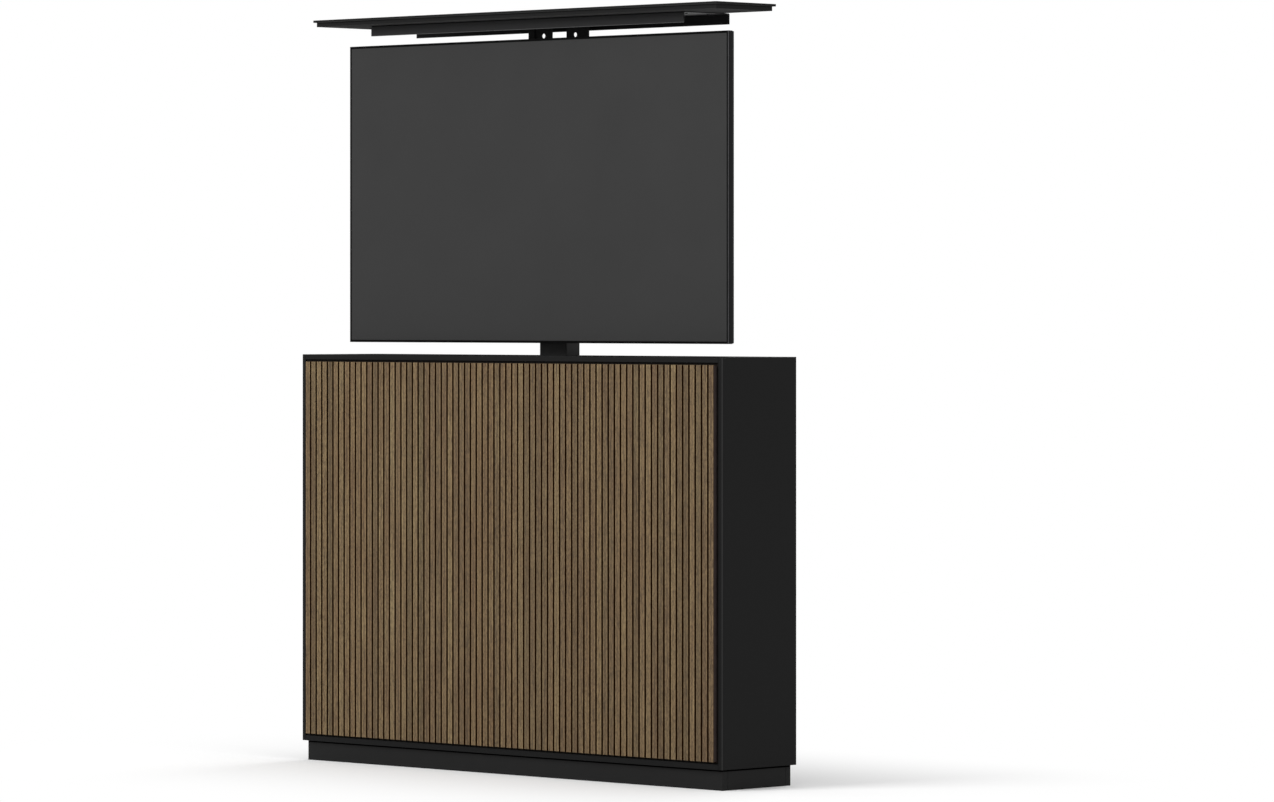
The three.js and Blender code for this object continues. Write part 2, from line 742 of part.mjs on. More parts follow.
// The motor's lead drops to the bottom panel, runs under a clip and rises to the box.
// Both falls are S-shaped, with level ends, so the lead never dips into the panel.
function addLead([startX, y, startZ]) {
  const floorZ = shelfTop + fitGap + leadRadius;
  const endX = boxX - fitGap;
  const endZ = shelfTop + boxHeight / 2;
  const fallEndX = startX + leadFoot + 2 * leadBend;
  const riseStartX = endX - leadFoot - 2 * leadBend;
  const spot = (x, z) => new THREE.Vector3(x, y, z);
  const bend = (x0, z0, x1, z1) => new THREE.CubicBezierCurve3(
    spot(x0, z0),
    spot(x0 + leadBend, z0),
    spot(x1 - leadBend, z1),
    spot(x1, z1),
  );
  const curve = new THREE.CurvePath();
  curve.add(new THREE.LineCurve3(spot(startX, startZ), spot(startX + leadFoot, startZ)));
  curve.add(bend(startX + leadFoot, startZ, fallEndX, floorZ));
  curve.add(new THREE.LineCurve3(spot(fallEndX, floorZ), spot(riseStartX, floorZ)));
  curve.add(bend(riseStartX, floorZ, endX - leadFoot, endZ));
  curve.add(new THREE.LineCurve3(spot(endX - leadFoot, endZ), spot(endX, endZ)));
  const section = new THREE.Shape();
  const sectionSides = 8;
  for (let i = 0; i < sectionSides; i += 1) {
    const angle = (2 * Math.PI * i) / sectionSides;
    const u = leadRadius * Math.cos(angle);
    const v = leadRadius * Math.sin(angle);
    if (i === 0) section.moveTo(u, v);
    else section.lineTo(u, v);
  }
  const lead = new THREE.ExtrudeGeometry(section, { extrudePath: curve, steps: 24, bevelEnabled: false });
  addPiece('motor_lead', lead, blackPlastic);

  const clipX = (fallEndX + riseStartX) / 2;
  const baseZ = shelfTop + fitGap;
  const arch = leadRadius + fitGap;
  const shell = arch + clipWall;
  const clip = outlineShape([
    [y - shell - clipEar, baseZ],
    [y - arch, baseZ],
    [y - arch, floorZ],
    ...archPoints(arch, y, floorZ, true),
    [y + arch, floorZ],
    [y + arch, baseZ],
    [y + shell + clipEar, baseZ],
    [y + shell + clipEar, baseZ + clipWall],
    [y + shell, baseZ + clipWall],
    [y + shell, floorZ],
    ...archPoints(shell, y, floorZ, false),
    [y - shell, floorZ],
    [y - shell, baseZ + clipWall],
    [y - shell - clipEar, baseZ + clipWall],
  ]);
  addPiece('lead_clip', alongX(clip, clipX - clipWidth / 2, clipX + clipWidth / 2), blackPlastic);
}

// Inner points of a half circle over (y, z), left to right or back again
function archPoints(radius, y, z, leftToRight) {
  const points = [];
  const steps = 2 * curveParts;
  for (let i = 1; i < steps; i += 1) {
    const angle = (Math.PI * i) / steps;
    points.push([y + radius * Math.cos(angle), z + radius * Math.sin(angle)]);
  }
  return leftToRight ? points.reverse() : points;
}

// A strap holds the outer tube against the rear stretcher
function addColumnClamp() {
  const tubeHalfX = outerWidth / 2 + fitGap;
  const tubeFrontY = columnY - outerDepth / 2 - fitGap;
  const earY = stretcherFrontY - fitGap;
  const reach = tubeHalfX + clampSheet;
  const strap = outlineShape([
    [-reach - clampEar, earY - clampSheet],
    [-reach, earY - clampSheet],
    [-reach, tubeFrontY - clampSheet],
    [reach, tubeFrontY - clampSheet],
    [reach, earY - clampSheet],
    [reach + clampEar, earY - clampSheet],
    [reach + clampEar, earY],
    [tubeHalfX, earY],
    [tubeHalfX, tubeFrontY],
    [-tubeHalfX, tubeFrontY],
    [-tubeHalfX, earY],
    [-reach - clampEar, earY],
  ]);
  const middleZ = stretcherBottom + stretcherHeight / 2;
  const clamp = alongZ(strap, middleZ - clampHeight / 2, middleZ + clampHeight / 2);
  addPiece('column_clamp', clamp, blackSteel);
}

function addControlBox() {
  const x0 = boxX;
  const x1 = boxX + boxWidth;
  const bottom = shelfTop + fitGap;
  const middleX = (x0 + x1) / 2;
  const seamRadius = boxRadius - boxSeam;
  const shell = [boxWidth, boxDepth, boxRadius, middleX, columnY];
  const core = [boxWidth - 2 * boxSeam, boxDepth - 2 * boxSeam, seamRadius, middleX, columnY];
  const seamTop = bottom + boxHeight - boxLid;
  const tray = alongZ(roundedShape(...shell), bottom, seamTop - boxSeam);
  const body = alongZ(roundedShape(...core), bottom + boxSeam, bottom + boxHeight - boxSeam);
  const lid = alongZ(roundedShape(...shell), seamTop, bottom + boxHeight);
  addPiece('control_box', joined([tray, body, lid]), blackPlastic);
  const inletZ = bottom + boxHeight / 2;
  const start = x1 + fitGap;
  const rim = roundedShape(inletWidth, inletHeight, inletWall, columnY, inletZ);
  const well = roundedShape(
    inletWidth - 2 * inletWall,
    inletHeight - 2 * inletWall,
    inletWall / 2,
    columnY,
    inletZ,
  );
  const outer = alongX(rim, start, start + inletDepth);
  const cut = alongX(well, start + inletWall, start + inletDepth + cutOver);
  addPiece('mains_inlet', joined([outer], [cut]), blackPlastic);
}

function addHead() {
  const frontFace = hangBackY + fitGap;
  const tubeBackY = columnY + innerDepth / 2;
  const plateBackY = bracketFrontY + bracketSheet + bracketFoot;
  const halfHead = headWidth / 2;
  const plate = boardGeometry(
    [-halfHead, halfHead],
    [frontFace, Math.max(tubeBackY, plateBackY)],
    [headBottom, headTop],
  );
  const flange = boardGeometry(
    [-hangNeckWidth / 2, hangNeckWidth / 2],
    [frontFace, frontFace + hangSheet],
    [headTop - headFlange, headTop],
  );
  const plugShape = roundedShape(
    innerCavityWidth - 2 * fitGap,
    innerCavityDepth - 2 * fitGap,
    tubeRadius / 2,
    0,
    columnY,
  );
  const plug = alongZ(plugShape, innerTop - headPlug, headTop - headPlate / 2);
  addPiece('column_head', joined([plate, flange, plug]), blackSteel);
}

// The hang plate is a T: a neck down from the head and a slotted cross plate
function addHangBracket() {
  const crossHalf = vesaWidth / 2 + hangCrossSpare;
  const crossBottom = tvCentreZ - hangCrossBelow;
  const crossTop = crossBottom + hangCrossHeight;
  const neckHalf = hangNeckWidth / 2;
  const neckRise = headTop - crossTop;
  const cross = roundedShape(2 * crossHalf, hangCrossHeight, hangRadius, 0, (crossBottom + crossTop) / 2);
  const neck = roundedShape(
    hangNeckWidth,
    neckRise + 2 * hangRadius,
    hangRadius,
    0,
    crossTop + neckRise / 2 - hangRadius,
  );
  const slots = [];
  for (const [, sign] of sides) {
    for (const share of hangSlotShares) {
      const z = (crossBottom + crossTop) / 2 + share * hangCrossHeight;
      const x = sign * (crossHalf - hangSlotLength / 2 - hangCrossSpare / 2);
      slots.push(roundedShape(hangSlotLength, hangSlotWidth, hangSlotWidth / 2, x, z));
    }
  }
  const cuts = slots.map((slot) => alongY(slot, hangFrontY - cutOver, hangBackY + cutOver));
  const plates = [alongY(cross, hangFrontY, hangBackY), alongY(neck, hangFrontY, hangBackY)];
  addPiece('hang_plate', joined(plates, cuts), blackSteel);

  const armHalf = vesaHeight / 2 + armOverhang;
  for (const [side, sign] of sides) {
    const x = (sign * vesaWidth) / 2;
    const half = armWidth / 2;
    const channel = outlineShape([
      [x - half, armFrontY],
      [x + half, armFrontY],
      [x + half, armBackY],
      [x + half - armSheet, armBackY],
      [x + half - armSheet, armFrontY + armSheet],
      [x - half + armSheet, armFrontY + armSheet],
      [x - half + armSheet, armBackY],
      [x - half, armBackY],
    ]);
    const body = alongZ(channel, tvCentreZ - armHalf, tvCentreZ + armHalf);
    const holes = [-1, 1].map((end) => {
      const z = tvCentreZ + (end * vesaHeight) / 2;
      const hole = new THREE.Shape(circlePath(vesaHoleRadius, x, z).getPoints());
      return alongY(hole, armFrontY - cutOver, armFrontY + armSheet + cutOver);
    });
    const slotWidth = 2 * vesaHoleRadius;
    const slots = armSlotShares.map((share) => {
      const z = tvCentreZ + (share * vesaHeight) / 2;
      const slot = roundedShape(slotWidth, armSlotLength, slotWidth / 2, x, z);
      return alongY(slot, armFrontY - cutOver, armFrontY + armSheet + cutOver);
    });
    addPiece(`vesa_arm_${side}`, joined([body], [...holes, ...slots]), blackSteel);
  }
}

// Each lid bracket is a joggled plate with a foot below and above, and a row of holes
function addLidBrackets() {
  const face = bracketFrontY;
  const bottom = headTop + fitGap;
  const top = hoodUnder - fitGap;
  const holeRoom = top - bottom - bracketHoleBelow - bracketHoleAbove;
  const holeCount = Math.floor(holeRoom / bracketHolePitch) + 1;
  for (const [side, sign] of sides) {
    const plan = [
      [bracketInner, face],
      [bracketStep, face],
      [bracketStep, face - bracketJoggle],
      [bracketOuter, face - bracketJoggle],
      [bracketOuter, face - bracketJoggle + bracketSheet],
      [bracketStep + bracketSheet, face - bracketJoggle + bracketSheet],
      [bracketStep + bracketSheet, face + bracketSheet],
      [bracketInner, face + bracketSheet],
    ].map(([x, y]) => [sign * x, y]);
    if (sign < 0) plan.reverse();
    const plate = alongZ(outlineShape(plan), bottom, top);
    const footX = mirrorSpan(sign, bracketInner, bracketStep);
    const footY = [face, face + bracketSheet + bracketFoot];
    const lowFoot = boardGeometry(footX, footY, [bottom, bottom + bracketSheet]);
    const highFoot = boardGeometry(footX, footY, [top - bracketSheet, top]);
    const holes = [];
    for (let i = 0; i < holeCount; i += 1) {
      const z = top - bracketHoleBelow - i * bracketHolePitch;
      const hole = new THREE.Shape(circlePath(bracketHoleRadius, sign * bracketHoleX, z).getPoints());
      holes.push(alongY(hole, face - cutOver, face + bracketSheet + cutOver));
    }
    addPiece(`lid_bracket_${side}`, joined([plate, lowFoot, highFoot], holes), blackSteel);
  }
}

function addLid() {
  const half = hoodLength / 2;
  const low = hoodTop - hoodHeight;
  const quarter = Math.PI / 2;
  const hood = new THREE.Shape();
  const bendIn = hoodBend - hoodSheet;
  hood.moveTo(hoodFrontY, low);
  hood.lineTo(hoodFrontY + hoodSheet, low);
  hood.absarc(hoodFrontY + hoodBend, hoodTop - hoodBend, bendIn, 2 * quarter, quarter, true);
  hood.absarc(hoodBackY - hoodBend, hoodTop - hoodBend, bendIn, quarter, 0, true);
  hood.lineTo(hoodBackY - hoodSheet, low);
  hood.lineTo(hoodBackY, low);
  hood.absarc(hoodBackY - hoodBend, hoodTop - hoodBend, hoodBend, 0, quarter, false);
  hood.absarc(hoodFrontY + hoodBend, hoodTop - hoodBend, hoodBend, quarter, 2 * quarter, false);
  hood.closePath();
  addPiece('hood_channel', alongX(hood, -half, half), blackSteel);

  const core = boardGeometry([-coreHalf, coreHalf], [coreFrontY, coreBackY], [coreBottom, coreTop]);
  addPiece('lid_core_board', core, blackLacquer);
  const lip = boardGeometry([-lipHalf, lipHalf], [lipFrontY, lipBackY], [lipBottom, lidTop]);
  addPiece('lid_top_board', lip, blackLacquer);
}

function addTelevision() {
  const outer = roundedShape(tvWidth, tvHeight, tvEdgeChamfer, 0, tvCentreZ);
  const openWidth = tvWidth - 2 * tvBezel;
  const openHeight = tvHeight - 2 * tvBezel;
  outer.holes.push(roundedShape(openWidth, openHeight, tvEdgeChamfer, 0, tvCentreZ, THREE.Path));
  const frame = alongY(outer, tvFrontY, tvFrameBackY);
  addPiece('tv_bezel_frame', joined([frame], frameChamfers()), frameAlloy);

  const screenHalf = openWidth / 2 - fitGap;
  const screenHalfHeight = openHeight / 2 - fitGap;
  const screenFrontY = tvFrontY + tvScreenRecess;
  const screen = boardGeometry(
    [-screenHalf, screenHalf],
    [screenFrontY, screenFrontY + tvScreenThickness],
    [tvCentreZ - screenHalfHeight, tvCentreZ + screenHalfHeight],
  );
  addPiece('tv_screen', screen, screenGlass);

  const cover = roundedShape(
    tvWidth - 2 * tvCoverInset,
    tvHeight - 2 * tvCoverInset,
    tvCoverRadius,
    0,
    tvCentreZ,
  );
  addPiece('tv_back_cover', alongY(cover, tvCoverFrontY, tvCoverBackY), blackPlastic);
  addTelevisionHousing();
}

// Four wedges that take the sharp edge off the front of the television's frame
function frameChamfers() {
  const low = tvFrontY - cutOver;
  const deep = tvFrontY + tvFrameChamfer;
  const past = tvFrameChamfer + cutOver;
  const wedges = [];
  for (const [, sign] of sides) {
    const edgeX = (sign * tvWidth) / 2;
    const upright = [
      [edgeX - sign * past, low],
      [edgeX + sign * cutOver, low],
      [edgeX + sign * cutOver, deep + cutOver],
    ];
    const edgeZ = tvCentreZ + (sign * tvHeight) / 2;
    const level = [
      [low, edgeZ - sign * past],
      [low, edgeZ + sign * cutOver],
      [deep + cutOver, edgeZ + sign * cutOver],
    ];
    if (sign < 0) upright.reverse();
    if (sign > 0) level.reverse();
    wedges.push(alongZ(outlineShape(upright), tvBottom - cutOver, tvBottom + tvHeight + cutOver));
    wedges.push(alongX(outlineShape(level), -tvWidth / 2 - cutOver, tvWidth / 2 + cutOver));
  }
  return wedges;
}

// The housing for the electronics tapers towards its back face
function addTelevisionHousing() {
  const straight = tvHousingDepth - tvHousingTaper;
  const centreZ = housingBottom + tvHousingHeight / 2;
  const shape = roundedShape(
    tvHousingWidth - 2 * tvHousingTaper,
    tvHousingHeight - 2 * tvHousingTaper,
    tvHousingRadius,
    0,
    centreZ,
  );
  const housing = new THREE.ExtrudeGeometry(shape, {
    depth: straight,
    curveSegments: curveParts,
    bevelEnabled: true,
    bevelThickness: tvHousingTaper,
    bevelSize: tvHousingTaper,
    bevelSegments: 1,
  });
  housing.rotateX(Math.PI / 2).translate(0, housingFrontY + straight, 0);
  const frontHalf = boardGeometry(
    [-tvHousingWidth, tvHousingWidth],
    [housingFrontY - tvHousingDepth, housingFrontY],
    [centreZ - tvHousingHeight, centreZ + tvHousingHeight],
  );
  const cuts = [frontHalf, ...housingVents(), ...housingRecesses()];
  addPiece('tv_rear_housing', joined([housing], cuts), blackPlastic);
}

// Louvres in the upper part: one group between the arms and one outside each arm
function housingVents() {
  const armEdge = (vesaWidth + armWidth) / 2;
  const between = vesaWidth / 2 - armWidth / 2 - tvVentClear;
  const outerStart = armEdge + tvVentClear;
  const outerEnd = tvHousingWidth / 2 - tvHousingTaper - tvVentClear;
  const outerMiddle = (outerStart + outerEnd) / 2;
  const outerHalf = (outerEnd - outerStart) / 2;
  const groups = [[-outerMiddle, outerHalf], [0, between], [outerMiddle, outerHalf]];
  const slots = [];
  for (const [middle, half] of groups) {
    const count = Math.floor((2 * half) / tvVentPitch) + 1;
    for (let i = 0; i < count; i += 1) {
      const x = middle + (i - (count - 1) / 2) * tvVentPitch;
      for (let row = 0; row < tvVentRows; row += 1) {
        const z = housingBottom + tvHousingHeight - tvVentBelow - row * tvVentRowPitch;
        slots.push(boardGeometry(
          [x - tvVentWidth / 2, x + tvVentWidth / 2],
          [housingBackY - tvVentDepth, housingBackY + cutOver],
          [z - tvVentLength / 2, z + tvVentLength / 2],
        ));
      }
    }
  }
  return slots;
}

// Recesses for the signal sockets and for the mains socket
function housingRecesses() {
  const depth = [housingBackY - tvPortDepth, housingBackY + cutOver];
  const foot = housingBottom + tvPortRise;
  const portX = -tvHousingWidth / 2 + tvPortFromSide;
  const mainsX = tvHousingWidth / 2 - tvMainsFromSide;
  return [
    boardGeometry([portX, portX + tvPortWidth], depth, [foot, foot + tvPortHeight]),
    boardGeometry([mainsX - tvMainsWidth, mainsX], depth, [foot, foot + tvMainsHeight]),
  ];
}

addPlinth();
addSidePanels();
addBottomPanel();
addTopFrame();
addSlattedFront();
addBack();
addColumn();
addScrews();
addDrive();
addColumnClamp();
addControlBox();
addHead();
addHangBracket();
addLidBrackets();
addLid();
addTelevision();

export default cabinet;
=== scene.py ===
# TV lift cabinet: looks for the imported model. Metres, +Z up, slatted front towards -Y.
import json
import math

import bmesh
import bpy
from mathutils import Matrix, Vector


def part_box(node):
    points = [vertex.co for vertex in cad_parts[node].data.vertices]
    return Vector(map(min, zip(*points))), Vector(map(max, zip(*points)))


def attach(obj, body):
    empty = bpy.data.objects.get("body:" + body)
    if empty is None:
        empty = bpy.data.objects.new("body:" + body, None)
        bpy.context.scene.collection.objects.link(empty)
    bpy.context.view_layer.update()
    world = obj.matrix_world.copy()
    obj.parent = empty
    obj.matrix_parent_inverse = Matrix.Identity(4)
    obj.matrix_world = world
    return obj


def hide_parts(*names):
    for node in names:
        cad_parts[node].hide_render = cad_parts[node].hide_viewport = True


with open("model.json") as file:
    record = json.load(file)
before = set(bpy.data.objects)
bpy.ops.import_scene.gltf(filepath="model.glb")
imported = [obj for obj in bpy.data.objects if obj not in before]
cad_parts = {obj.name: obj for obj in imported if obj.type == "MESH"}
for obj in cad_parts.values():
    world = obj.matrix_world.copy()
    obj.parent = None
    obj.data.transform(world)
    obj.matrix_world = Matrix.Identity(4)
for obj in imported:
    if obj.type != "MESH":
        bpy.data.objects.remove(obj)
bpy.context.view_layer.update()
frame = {"nodes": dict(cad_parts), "record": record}

mm = 0.001
nodes = frame["nodes"]
bodyOf = {node: body for body, members in frame["record"]["behaviour"]["bodies"].items() for node in members}
slots = {part["node"]: part["material_slot"] for part in frame["record"]["subparts"]}
print("frame loaded:", len(nodes), "nodes")


def addObject(name, data):
    added = bpy.data.objects.new(name, data)
    bpy.context.scene.collection.objects.link(added)
    return added


# Camera at the photograph's view
view = {
    "place": (10.006, -9.867, 1.0585),
    "yaw": 44.511,  # degrees, from straight on to the cabinet's right
    "lens": 173.8,
    "sensorWidth": 36,
    "frameWidth": 1274,
    "frameHeight": 802,
    "horizonRow": 308.909,  # row of the photograph at the camera's height
    "farthest": 200,
}


def addCamera():
    data = bpy.data.cameras.new("photo_view")
    data.lens = view["lens"]
    data.sensor_width = view["sensorWidth"]
    data.shift_y = (view["horizonRow"] - view["frameHeight"] / 2) / view["frameWidth"]
    data.clip_end = view["farthest"]
    camera = addObject("photo_view", data)
    camera.location = view["place"]
    camera.rotation_euler = (math.radians(90), 0, math.radians(view["yaw"]))
    bpy.context.scene.camera = camera


addCamera()
bpy.context.scene.view_settings.view_transform = "Standard"


# An sRGB hex colour as the linear one that a shader takes
def toLinear(hexColour):
    channels = [int(hexColour[i:i + 2], 16) / 255 for i in (1, 3, 5)]
    curve = [c / 12.92 if c <= 0.04045 else ((c + 0.055) / 1.055) ** 2.4 for c in channels]
    return (*curve, 1)


def grey(value):
    return (value, value, value, 1)


# Adds a node. A setting is a property, a socket, or the stops of a colour ramp; a link is (node, output).
def addNode(tree, kind, settings, links):
    node = tree.nodes.new(kind)
    for key, value in settings.items():
        if key == "stops":
            stops = node.color_ramp.elements
            while len(stops) < len(value):
                stops.new(0.5)
            for stop, (place, colour) in zip(stops, value):
                stop.position = place
                stop.color = colour
        elif isinstance(key, str) and hasattr(node, key):
            setattr(node, key, value)
        else:
            node.inputs[key].default_value = value
    for key, (source, output) in links.items():
        tree.links.new(source.outputs[output], node.inputs[key])
    return node


def emptyTree(owner):
    owner.use_nodes = True
    owner.node_tree.nodes.clear()
    return owner.node_tree


def startMaterial(name):
    material = bpy.data.materials.new(name)
    tree = emptyTree(material)
    return material, tree, addNode(tree, "ShaderNodeTexCoord", {}, {})


def finishMaterial(tree, settings, links):
    shader = addNode(tree, "ShaderNodeBsdfPrincipled", settings, links)
    addNode(tree, "ShaderNodeOutputMaterial", {}, {"Surface": (shader, "BSDF")})


# Most of a noise texture lies between these two values
noiseLow = 0.3
noiseHigh = 0.7


# A surface of two close tones, with an uneven gloss and a fine relief
def mottled(name, look):
    material, tree, place = startMaterial(name)
    stretch = look.get("stretch", (1, 1, 1))
    turned = addNode(tree, "ShaderNodeMapping", {"Scale": stretch}, {"Vector": (place, "Object")})
    cloud = addNode(tree, "ShaderNodeTexNoise", {
        "Scale": 1 / (look["cloudMm"] * mm), "Detail": 3, "Roughness": 0.55,
    }, {"Vector": (turned, "Vector")})
    grain = addNode(tree, "ShaderNodeTexNoise", {
        "Scale": 1 / (look["grainMm"] * mm), "Detail": 2, "Roughness": 0.6,
    }, {"Vector": (turned, "Vector")})
    both = addNode(tree, "ShaderNodeMix", {
        "data_type": "FLOAT", "Factor": look.get("grainShare", 0.45),
    }, {"A": (cloud, "Fac"), "B": (grain, "Fac")})
    tone = addNode(tree, "ShaderNodeValToRGB", {
        "stops": [(noiseLow, toLinear(look["dark"])), (noiseHigh, toLinear(look["light"]))],
    }, {"Fac": (both, "Result")})
    gloss = addNode(tree, "ShaderNodeMapRange", {
        "From Min": noiseLow, "From Max": noiseHigh,
        "To Min": look["rough"][0], "To Max": look["rough"][1],
    }, {"Value": (cloud, "Fac")})
    relief = addNode(tree, "ShaderNodeBump", {
        "Strength": look.get("bump", 0.25), "Distance": look.get("reliefMm", 0.05) * mm,
    }, {"Height": (grain, "Fac")})
    finishMaterial(tree, {
        "Metallic": look.get("metallic", 0), "Specular IOR Level": look.get("specular", 0.5),
    }, {"Base Color": (tone, "Color"), "Roughness": (gloss, "Result"), "Normal": (relief, "Normal")})
    return material


# Slatted front: slats on a base board, each one a groove apart from the next
slat = {
    "panel": "slat_panel",
    "count": 69,
    "groove": 5.1 * mm,
    "proud": 9 * mm,  # slat above its base board
    "edgeRadius": 0.7 * mm,
}


def slatPitch(low, high):
    return (high.x - low.x + slat["groove"]) / slat["count"]


# Veneer over the front of each slat: every slat is cut from another strip, so tone and figure differ
veneer = {
    "tones": ((0, "#796a4c"), (0.35, "#847254"), (0.65, "#8c7958"), (1, "#948462")),
    "grainMm": 1.5,
    "figureMm": 7,
    "fleckMm": 2.2,
    "grainStretch": (1, 1, 0.035),
    "fleckStretch": (1, 1, 0.3),
    "stripShift": 7.0,  # metres that the strips of two slats lie apart in the wood, at most
    "specular": 0.25,
    "rough": (0.66, 0.5),
    "bump": 0.4,
    "reliefMm": 0.12,
}


def walnutVeneer():
    material, tree, place = startMaterial("walnut_veneer_wrapped")
    low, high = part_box(slat["panel"])
    pitch = slatPitch(low, high)
    axes = addNode(tree, "ShaderNodeSeparateXYZ", {}, {"Vector": (place, "Object")})
    fromEnd = addNode(tree, "ShaderNodeMath", {"operation": "SUBTRACT", 1: low.x}, {0: (axes, "X")})
    index = addNode(tree, "ShaderNodeMath", {"operation": "DIVIDE", 1: pitch}, {0: (fromEnd, 0)})
    whole = addNode(tree, "ShaderNodeMath", {"operation": "FLOOR"}, {0: (index, 0)})
    across = addNode(tree, "ShaderNodeMath", {"operation": "FRACT"}, {0: (index, 0)})
    chance = addNode(tree, "ShaderNodeTexWhiteNoise", {"noise_dimensions": "1D"}, {"W": (whole, 0)})
    # Each slat reads the wood at another height, so no figure runs across two of them
    shift = addNode(tree, "ShaderNodeMath", {
        "operation": "MULTIPLY", 1: veneer["stripShift"],
    }, {0: (chance, "Value")})
    offset = addNode(tree, "ShaderNodeCombineXYZ", {}, {"Y": (shift, 0), "Z": (shift, 0)})
    wood = addNode(tree, "ShaderNodeVectorMath", {"operation": "ADD"}, {
        0: (place, "Object"), 1: (offset, 0),
    })
    along = addNode(tree, "ShaderNodeMapping", {"Scale": veneer["grainStretch"]}, {"Vector": (wood, 0)})
    short = addNode(tree, "ShaderNodeMapping", {"Scale": veneer["fleckStretch"]}, {"Vector": (wood, 0)})
    figure = addNode(tree, "ShaderNodeTexNoise", {
        "Scale": 1 / (veneer["figureMm"] * mm), "Detail": 3, "Roughness": 0.6, "Distortion": 0.4,
    }, {"Vector": (along, "Vector")})
    grain = addNode(tree, "ShaderNodeTexNoise", {
        "Scale": 1 / (veneer["grainMm"] * mm), "Detail": 2, "Roughness": 0.6,
    }, {"Vector": (along, "Vector")})
    fleck = addNode(tree, "ShaderNodeTexNoise", {
        "Scale": 1 / (veneer["fleckMm"] * mm), "Detail": 2, "Roughness": 0.6,
    }, {"Vector": (short, "Vector")})
    patch = addNode(tree, "ShaderNodeTexNoise", {"Scale": 5, "Detail": 2}, {"Vector": (wood, 0)})
    slatShare = 1 - slat["groove"] / pitch
    layers = (
        (grain, 0.8, ((0.32, "#8a8a88"), (0.5, "#f0eeea"), (0.72, "#ffffff"))),  # dark streaks
        (figure, 1, ((0.35, "#e6dcd4"), (0.65, "#fffbf4"))),  # warm figure
        (patch, 1, ((0.35, "#ebe4e1"), (0.65, "#ffffff"))),  # broad patches
        (fleck, 1, ((0.34, "#bbb5b0"), (0.6, "#ffffff"))),  # short flecks
        # Painted highlight: paler along both corners of a slat, darker across its middle
        (across, 1, ((0.1 * slatShare, "#ffffff"), (0.32 * slatShare, "#dddbda"),
                     (0.68 * slatShare, "#dddbda"), (0.9 * slatShare, "#ffffff"))),
    )
    base = addNode(tree, "ShaderNodeValToRGB", {
        "stops": [(spot, toLinear(tone)) for spot, tone in veneer["tones"]],
    }, {"Fac": (chance, "Value")})
    colour = (base, "Color")
    for source, strength, stops in layers:
        ramp = addNode(tree, "ShaderNodeValToRGB", {
            "stops": [(spot, toLinear(tone)) for spot, tone in stops],
        }, {"Fac": (source, 0)})
        mixed = addNode(tree, "ShaderNodeMix", {
            "data_type": "RGBA", "blend_type": "MULTIPLY", "Factor": strength,
        }, {"A": colour, "B": (ramp, "Color")})
        colour = (mixed, "Result")
    gloss = addNode(tree, "ShaderNodeMapRange", {
        "To Min": veneer["rough"][0], "To Max": veneer["rough"][1],
    }, {"Value": (grain, "Fac")})
    pores = addNode(tree, "ShaderNodeBump", {
        "Strength": veneer["bump"], "Distance": veneer["reliefMm"] * mm,
    }, {"Height": (grain, "Fac")})
    finishMaterial(tree, {"Specular IOR Level": veneer["specular"]}, {
        "Base Color": colour, "Roughness": (gloss, "Result"), "Normal": (pores, "Normal"),
    })
    return material


